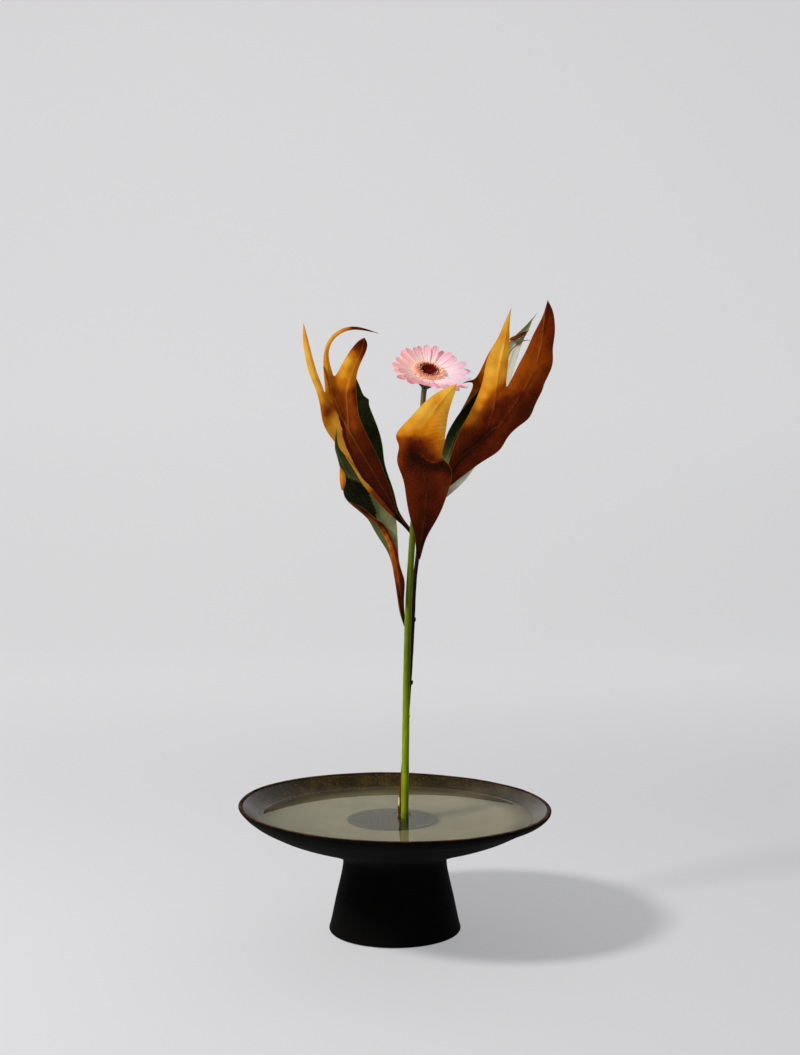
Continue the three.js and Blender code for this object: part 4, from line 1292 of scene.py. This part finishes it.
            [36, (56, 412), (78, 404)], [35, (66, 430), (88, 422)], [34, (75, 447), (92, 442)],
            [33, (82, 461), (95.4, 459)], [32, (88, 476), (100.2, 474)], [31, (92, 484), (103.2, 483.6)],
            [30.6, (95, 490), (106, 491)], [30, (101.6, 496), (109.8, 497.4)],
            [29, (108.2, 502), (111.8, 503)], [28.6, (112.2, 506.6), (113.6, 507.4)],
        ],
        "lobes": [[[28, (118, 513)]]],
        "ribs": [
            [(25, 352), (35, 358), (45, 375), (58, 398), (76, 425), (88, 455), (97, 480), (105, 495),
             (118, 512)],
        ],
        "tones": [
            (30, 355, 0.68), (50, 372, 0.98), (70, 410, 0.9), (90, 455, 1.02), (97, 478, 1.05),
            (105, 493, 0.9), (112, 504, 0.7),
        ],
    },
    "right_side_leaf": {
        "side": "copper", "belly": 0.08,
        "palm": [
            [35.4, (24, 372), (25.6, 370)], [31, (30, 386), (33, 383.6)], [27, (38, 402), (45, 398)],
            [24, (46, 417), (57, 412)], [21, (54, 431), (66, 426)], [18, (60.6, 443), (73, 438)],
            [15, (65.8, 454.6), (67.2, 457.4), (80, 452)],
        ],
        "lobes": [
            [[10, (61.4, 455.3), (61.7, 456.7)], [5, (58.6, 454.8), (58.8, 456)], [1, (55.4, 454)]],
            [[13.4, (74, 473), (83, 468)], [12.4, (77.6, 480), (85, 478)], [12, (82, 487)]],
        ],
        "ribs": [[(25, 371), (38, 396), (52, 415), (64, 434), (72, 450), (78, 470), (82, 486)]],
        "tones": [
            (30, 384, 0.2), (50, 420, 0.6), (58, 438, 0.7), (66, 450, 0.6), (74, 468, 0.55), (80, 482, 0.5),
            (66, 455, 0.5), (60.6, 456, 0.0), (58, 455, 0.0), (55, 454, 0.0),
        ],
    },
}


# Margins that are turned over so that the leaf's other side shows, given as the leaves are. They stand just
# in front of the leaf that they belong to.
TURNED_EDGES = {
    "left_low_fold": {
        "side": "copper", "belly": 0.12,
        "palm": [
            [34.8, (9.6, 248.6), (11.2, 250.6)], [33, (6.4, 256.4), (8, 259.4)],
            [31, (4.2, 266), (7.3, 268)], [29.4, (2, 278), (7.4, 279)], [27.8, (0, 291), (8.8, 291)],
            [26.8, (-1.2, 298), (5.6, 299)], [26, (-2.2, 305), (3.2, 306)],
            [25.4, (-3.7, 312.6), (2.8, 313)], [25, (-4.8, 318), (1.4, 318.6)],
            [24.6, (-7, 324.6), (-1.6, 325)], [24.2, (-9.8, 330), (-4.4, 330.4)],
            [23.8, (-12.2, 334.4), (-6.8, 335.6)], [23.4, (-14.6, 337.6), (-9.4, 339)],
            [23, (-18, 340.4), (-16, 342.8)], [22.4, (-22, 343.2), (-20.4, 346.6)],
            [21.6, (-26.4, 347.2), (-24.6, 350.8)], [21, (-31.4, 351.4), (-30, 353.8)],
        ],
        "lobes": [[[20, (-38.3, 357)]]],
        "ribs": [[(10, 249), (5, 280), (1, 306), (-3, 322), (-9, 334), (-20, 343), (-31, 352), (-38, 357)]],
        "tones": [
            (10, 250, 0.0), (6, 264, 0.02), (2.6, 276, 0.08), (6, 276, 0.04), (1, 284, 0.22),
            (7, 284, 0.12), (0.4, 291, 0.4), (8, 291, 0.14), (-1.6, 302, 0.5), (4, 302, 0.2),
            (-3.6, 312, 0.62), (2.6, 313, 0.14), (-5, 320, 0.72), (0, 320, 0.1), (-8, 326.6, 0.8),
            (-3, 327, 0.05), (-11, 332.6, 0.5), (-7, 333, 0.0), (-12, 336.6, 0.0), (-18, 342.6, 0.35),
            (-19, 341, 0.1), (-26, 348, 0.0), (-32, 353, 0.06),
        ],
    },
    "left_low_curl": {
        "side": "copper", "belly": 0.2,
        "palm": [
            [9, (-43.8, 366), (-43, 366.6)], [8, (-44.9, 371), (-41, 371.5)],
            [7, (-45.5, 376), (-40.4, 376.5)], [6, (-45.5, 381), (-41.8, 381.5)],
        ],
        "lobes": [[[5, (-45.4, 386.4)]]],
        "ribs": [[(-43.4, 366), (-43, 374), (-44, 381), (-45.4, 386)]],
        "tones": [
            (-43.5, 368, 0.55), (-44.6, 374, 0.62), (-42, 374, 0.8), (-42.4, 380, 0.86), (-45, 383, 0.6),
        ],
    },
    "right_back_fold": {
        "side": "copper", "belly": 0.15,
        "palm": [
            [29.4, (94.6, 491.6), (94.2, 489)], [29, (99.6, 493.2), (99.4, 489.8)],
            [29, (104.4, 496), (104.6, 493)],
        ],
        "lobes": [[[29.2, (110.4, 497.6)]]],
        "ribs": [[(95, 490), (102, 492.4), (110, 497)]],
        "tones": [(96, 491, 0.3), (102, 493, 0.24), (107, 495, 0.12)],
    },
}
TENDRIL = [(93.6, 478.6), (97.8, 483.9), (103, 488.2), (108, 489.8), (111.4, 489.4)]
TENDRIL_DEPTH = 28.2


def along_sight(point, depth):
    """The place at a depth that is seen over a point of the plane y = 0."""
    on_plane = Vector((point[0], 0, point[1]))
    share = (depth - VIEWPOINT.y) / -VIEWPOINT.y
    return (VIEWPOINT + (on_plane - VIEWPOINT) * share) * MM


def row_across(row, lobe_count, belly):
    """A row's vertices: two cells a lobe, whose middles stand forward by the belly's share of its width."""
    given = [along_sight(point, row[0]) for point in row[1:]]
    if len(given) == 1:
        return given
    if len(given) != lobe_count + 1:
        given = [given[0].lerp(given[-1], n / lobe_count) for n in range(lobe_count + 1)]
    line = [given[0]]
    for last, now in zip(given, given[1:]):
        middle = last.lerp(now, 0.5)
        middle.y -= belly * (now - last).length
        line += [middle, now]
    return line


def seen_from_viewpoint(places):
    """Where each place is seen in the plane y = 0."""
    share = -VIEWPOINT.y / (places[:, 1] - VIEWPOINT.y)
    flat_x = VIEWPOINT.x + (places[:, 0] - VIEWPOINT.x) * share
    flat_z = VIEWPOINT.z + (places[:, 2] - VIEWPOINT.z) * share
    return np.stack([flat_x, flat_z], axis=1)


def near_line(flat, line):
    """Each point's distance from a line of points, how far along the line that is, and on which side."""
    nearest = np.full(len(flat), 1e9)
    along = np.zeros(len(flat))
    side = np.zeros(len(flat))
    travelled = 0.0
    for start, end in zip(np.array(line[:-1], float), np.array(line[1:], float)):
        step = end - start
        length = np.hypot(*step)
        share = np.clip((flat - start) @ step / length ** 2, 0, 1)
        away = np.hypot(*(flat - start - share[:, None] * step).T)
        closer = away < nearest
        nearest = np.where(closer, away, nearest)
        along = np.where(closer, travelled + share * length, along)
        across = step[0] * (flat[:, 1] - start[1]) - step[1] * (flat[:, 0] - start[0])
        side = np.where(closer, np.sign(across), side)
        travelled += length
    return nearest, along, side


def margin_distance(leaf, flat):
    """How far each vertex is from the leaf's edge, as it is seen."""
    body = bmesh.new()
    body.from_mesh(leaf.data)
    edge = np.array([vertex.index for vertex in body.verts if vertex.is_boundary])
    body.free()
    rim = flat[edge]
    return np.array([np.hypot(*(rim - point).T).min() for point in flat])


# A tone holds for this far round its point, and then gives way this fast to the tones round it.
TONE_REACH = 3
TONE_FALL = 1.6


def tone_with_painted_light(flat, tones, folds):
    """The leaf's tone at each point, smooth between the given tones, with a sudden change at each fold. The
    tones hold the leaf's own colour together with painted light and painted shade.
    """
    total = np.zeros(len(flat))
    weight = np.zeros(len(flat))
    for x, z, tone in tones:
        away = np.hypot(flat[:, 0] - x, flat[:, 1] - z)
        near = 1 / (away ** 2 + TONE_REACH ** 2) ** TONE_FALL
        total += near * tone
        weight += near
    value = total / weight
    for line, *sides in folds:
        away, _, side = near_line(flat, line)
        for which, reach, tone, _ in sides:
            share = smoothstep(away, reach, reach * 0.35) * (side == which)
            value += (tone - value) * share
    return value


def shape_leaf(leaf, plan, number):
    """Raises the ribs, ruffles the blade, and marks the leaf for its finish."""
    places = coordinates(leaf)
    flat = seen_from_viewpoint(places)
    rib = np.full(len(flat), 1e9)
    along = np.zeros(len(flat))
    for order, line in enumerate(plan["ribs"]):
        away, travelled, _ = near_line(flat, line)
        closer = away < rib
        rib = np.where(closer, away, rib)
        along = np.where(closer, travelled + VEIN_SHIFT * order, along)
    margin = margin_distance(leaf, flat)
    seen_places = np.stack([flat[:, 0], np.zeros(len(flat)), flat[:, 1]], axis=1)
    broad = smoothstep(rib + margin, 3, 12)
    ruffle = wander(seen_places, 0.035, 3 + number) * 2.2 + wander(seen_places, 0.09, 7 + number) * 0.8
    phase = (along - VEIN_SLANT * rib) / VEIN_SPACING
    veins = np.cos(2 * math.pi * phase) * 0.1 * smoothstep(rib, 1, 4)
    crease = -0.7 * np.exp(-(rib / 1.1) ** 2) + 0.9 * np.exp(-(rib / 4.5) ** 2)
    places[:, 1] += broad * (ruffle + veins + crease)
    for line, *sides in plan.get("folds", []):
        away, _, side = near_line(flat, line)
        for which, reach, _, bend in sides:
            places[:, 1] += bend * np.minimum(away, reach) * (side == which)
    move_vertices(leaf, places)
    store(leaf, "rib", rib)
    store(leaf, "along", along)
    store(leaf, "margin", margin)
    store(leaf, "tone", tone_with_painted_light(flat, plan["tones"], plan.get("folds", [])))
    start = Vector(plan["ribs"][0][0])
    stalk = smoothstep(np.hypot(flat[:, 0] - start.x, flat[:, 1] - start.y), 26, 8)
    group = leaf.vertex_groups.new(name="stalk")
    for vertex, weight in enumerate(stalk):
        group.add([vertex], float(weight), "REPLACE")


def make_leaves():
    """The eight leaves, their turned edges, and the thin tip of the right back leaf."""
    amber = shade(226, 148, 70)
    pale = shade(150, 160, 104)
    finishes = {
        "copper": [leaf_finish("leaf_underside", COPPERS, None, amber, 0.42),
                   leaf_finish("leaf_upper_far", GREENS, 0.18, pale, 0.36)],
        "green": [leaf_finish("leaf_upper", GREENS, None, pale, 0.38),
                  leaf_finish("leaf_underside_far", COPPERS, 0.42, amber, 0.42)],
    }
    slots = {node["node"]: node["material_slot"] for node in frame["record"]["subparts"]}
    for number, (node, plan) in enumerate(LEAVES.items()):
        belongs(raise_leaf(node + "_blade", plan, number, finishes), slots[node], node)
    for number, (name, plan) in enumerate(TURNED_EDGES.items()):
        belongs(raise_leaf(name, plan, number, finishes), "leaf_copper")
    course = [along_sight(point, TENDRIL_DEPTH) / MM for point in TENDRIL]
    tendril = rod("right_back_tendril", course, [0.25, 0.5, 0.5, 0.4, 0.12], 3)
    smooth(tendril, 60)
    tendril.data.materials.append(finishes["copper"][0])
    belongs(tendril, "leaf_copper")


# A leaf's thickness at its stalk, and the share of it that its blade has.
STALK_THICKNESS = 1.5
BLADE_SHARE = 0.3


def raise_leaf(name, plan, number, finishes):
    """Raises a leaf's sheet row by row, shapes it, and gives it its two sides."""
    lobes = plan["lobes"]
    belly = plan["belly"]
    rows = [row_across(row, len(lobes), belly) for row in plan["palm"]]
    leaf, chain = sheet(name, rows)
    for order, lobe in enumerate(lobes):
        last = chain[2 * order:2 * order + 3]
        for row in lobe:
            last = raise_row(leaf, last, row_across(row, 1, belly))
    pick(leaf)
    subdivided(leaf, 3)
    shape_leaf(leaf, plan, number)
    for finish in finishes[plan["side"]]:
        leaf.data.materials.append(finish)
    refine(leaf, "SOLIDIFY", thickness=STALK_THICKNESS * MM, offset=0, vertex_group="stalk",
           thickness_vertex_group=BLADE_SHARE, material_offset=1)
    smooth(leaf, 75)
    return leaf


# ---- Stage, lights and camera ----------------------------

SWEEP_RADIUS = 0.5
SWEEP_STEPS = 12
WALL_HEIGHT = 4


def make_stage():
    """A pale floor that sweeps up into a pale wall. Its measures are in metres."""
    pick()
    bpy.ops.mesh.primitive_plane_add(size=1, location=(0, 0, -0.0004))
    floor = named("floor_sweep")
    floor.scale = (9, 4.3, 1)
    settle(floor, Matrix.Translation((0, -0.35, 0)))
    bpy.ops.object.mode_set(mode="EDIT")
    select_vertices(floor, lambda co: co.y > 1.7)
    angles = [math.radians(90 * step / SWEEP_STEPS) for step in range(SWEEP_STEPS + 1)]
    for last, angle in zip(angles, angles[1:]):
        back = SWEEP_RADIUS * (math.sin(angle) - math.sin(last))
        up = SWEEP_RADIUS * (math.cos(last) - math.cos(angle))
        bpy.ops.mesh.extrude_edges_move(TRANSFORM_OT_translate={"value": (0, back, up)})
    bpy.ops.mesh.extrude_edges_move(TRANSFORM_OT_translate={"value": (0, 0, WALL_HEIGHT)})
    bpy.ops.object.mode_set(mode="OBJECT")
    smooth(floor)
    floor.data.materials.append(stage_paint())


def add_light(name, place, target, size, energy, colour):
    """A round lamp. Its measures are in metres."""
    pick()
    bpy.ops.object.light_add(type="AREA", location=place)
    light = bpy.context.object
    light.name = name
    light.data.shape = "DISK"
    light.data.size = size
    light.data.energy = energy
    light.data.color = colour
    light.rotation_euler = (Vector(target) - Vector(place)).to_track_quat("-Z", "Y").to_euler()


def make_lights():
    add_light("key_window", (-1.5, -0.75, 1.7), (0, 0, 0.3), 0.4, 48, (1, 0.985, 0.96))
    add_light("front_fill", (0.6, -2.2, 1.3), (0, 0, 0.25), 1.6, 2.5, (0.96, 0.98, 1))
    world = bpy.data.worlds.new("studio")
    bpy.context.scene.world = world
    world.use_nodes = True
    background = world.node_tree.nodes["Background"]
    background.inputs["Color"].default_value = (0.86, 0.88, 0.92, 1)
    background.inputs["Strength"].default_value = 0.16


CAMERA_TILT = math.radians(87.37)
LENS = 53.57


def make_camera():
    pick()
    bpy.ops.object.camera_add(location=VIEWPOINT * MM, rotation=(CAMERA_TILT, 0, 0))
    camera = bpy.context.object
    camera.name = "viewpoint"
    camera.data.lens = LENS
    camera.data.sensor_width = 36
    camera.data.clip_start = 0.01
    camera.data.dof.use_dof = False
    bpy.context.scene.camera = camera


make_camera()
make_bowl()
make_water()
make_kenzan()
make_stem()
make_calyx()
make_petals(petal_pink())
make_disc()
make_branch()
make_leaves()
make_stage()
make_lights()

bpy.context.scene.view_settings.view_transform = "Standard"
bpy.context.scene.view_settings.look = "None"
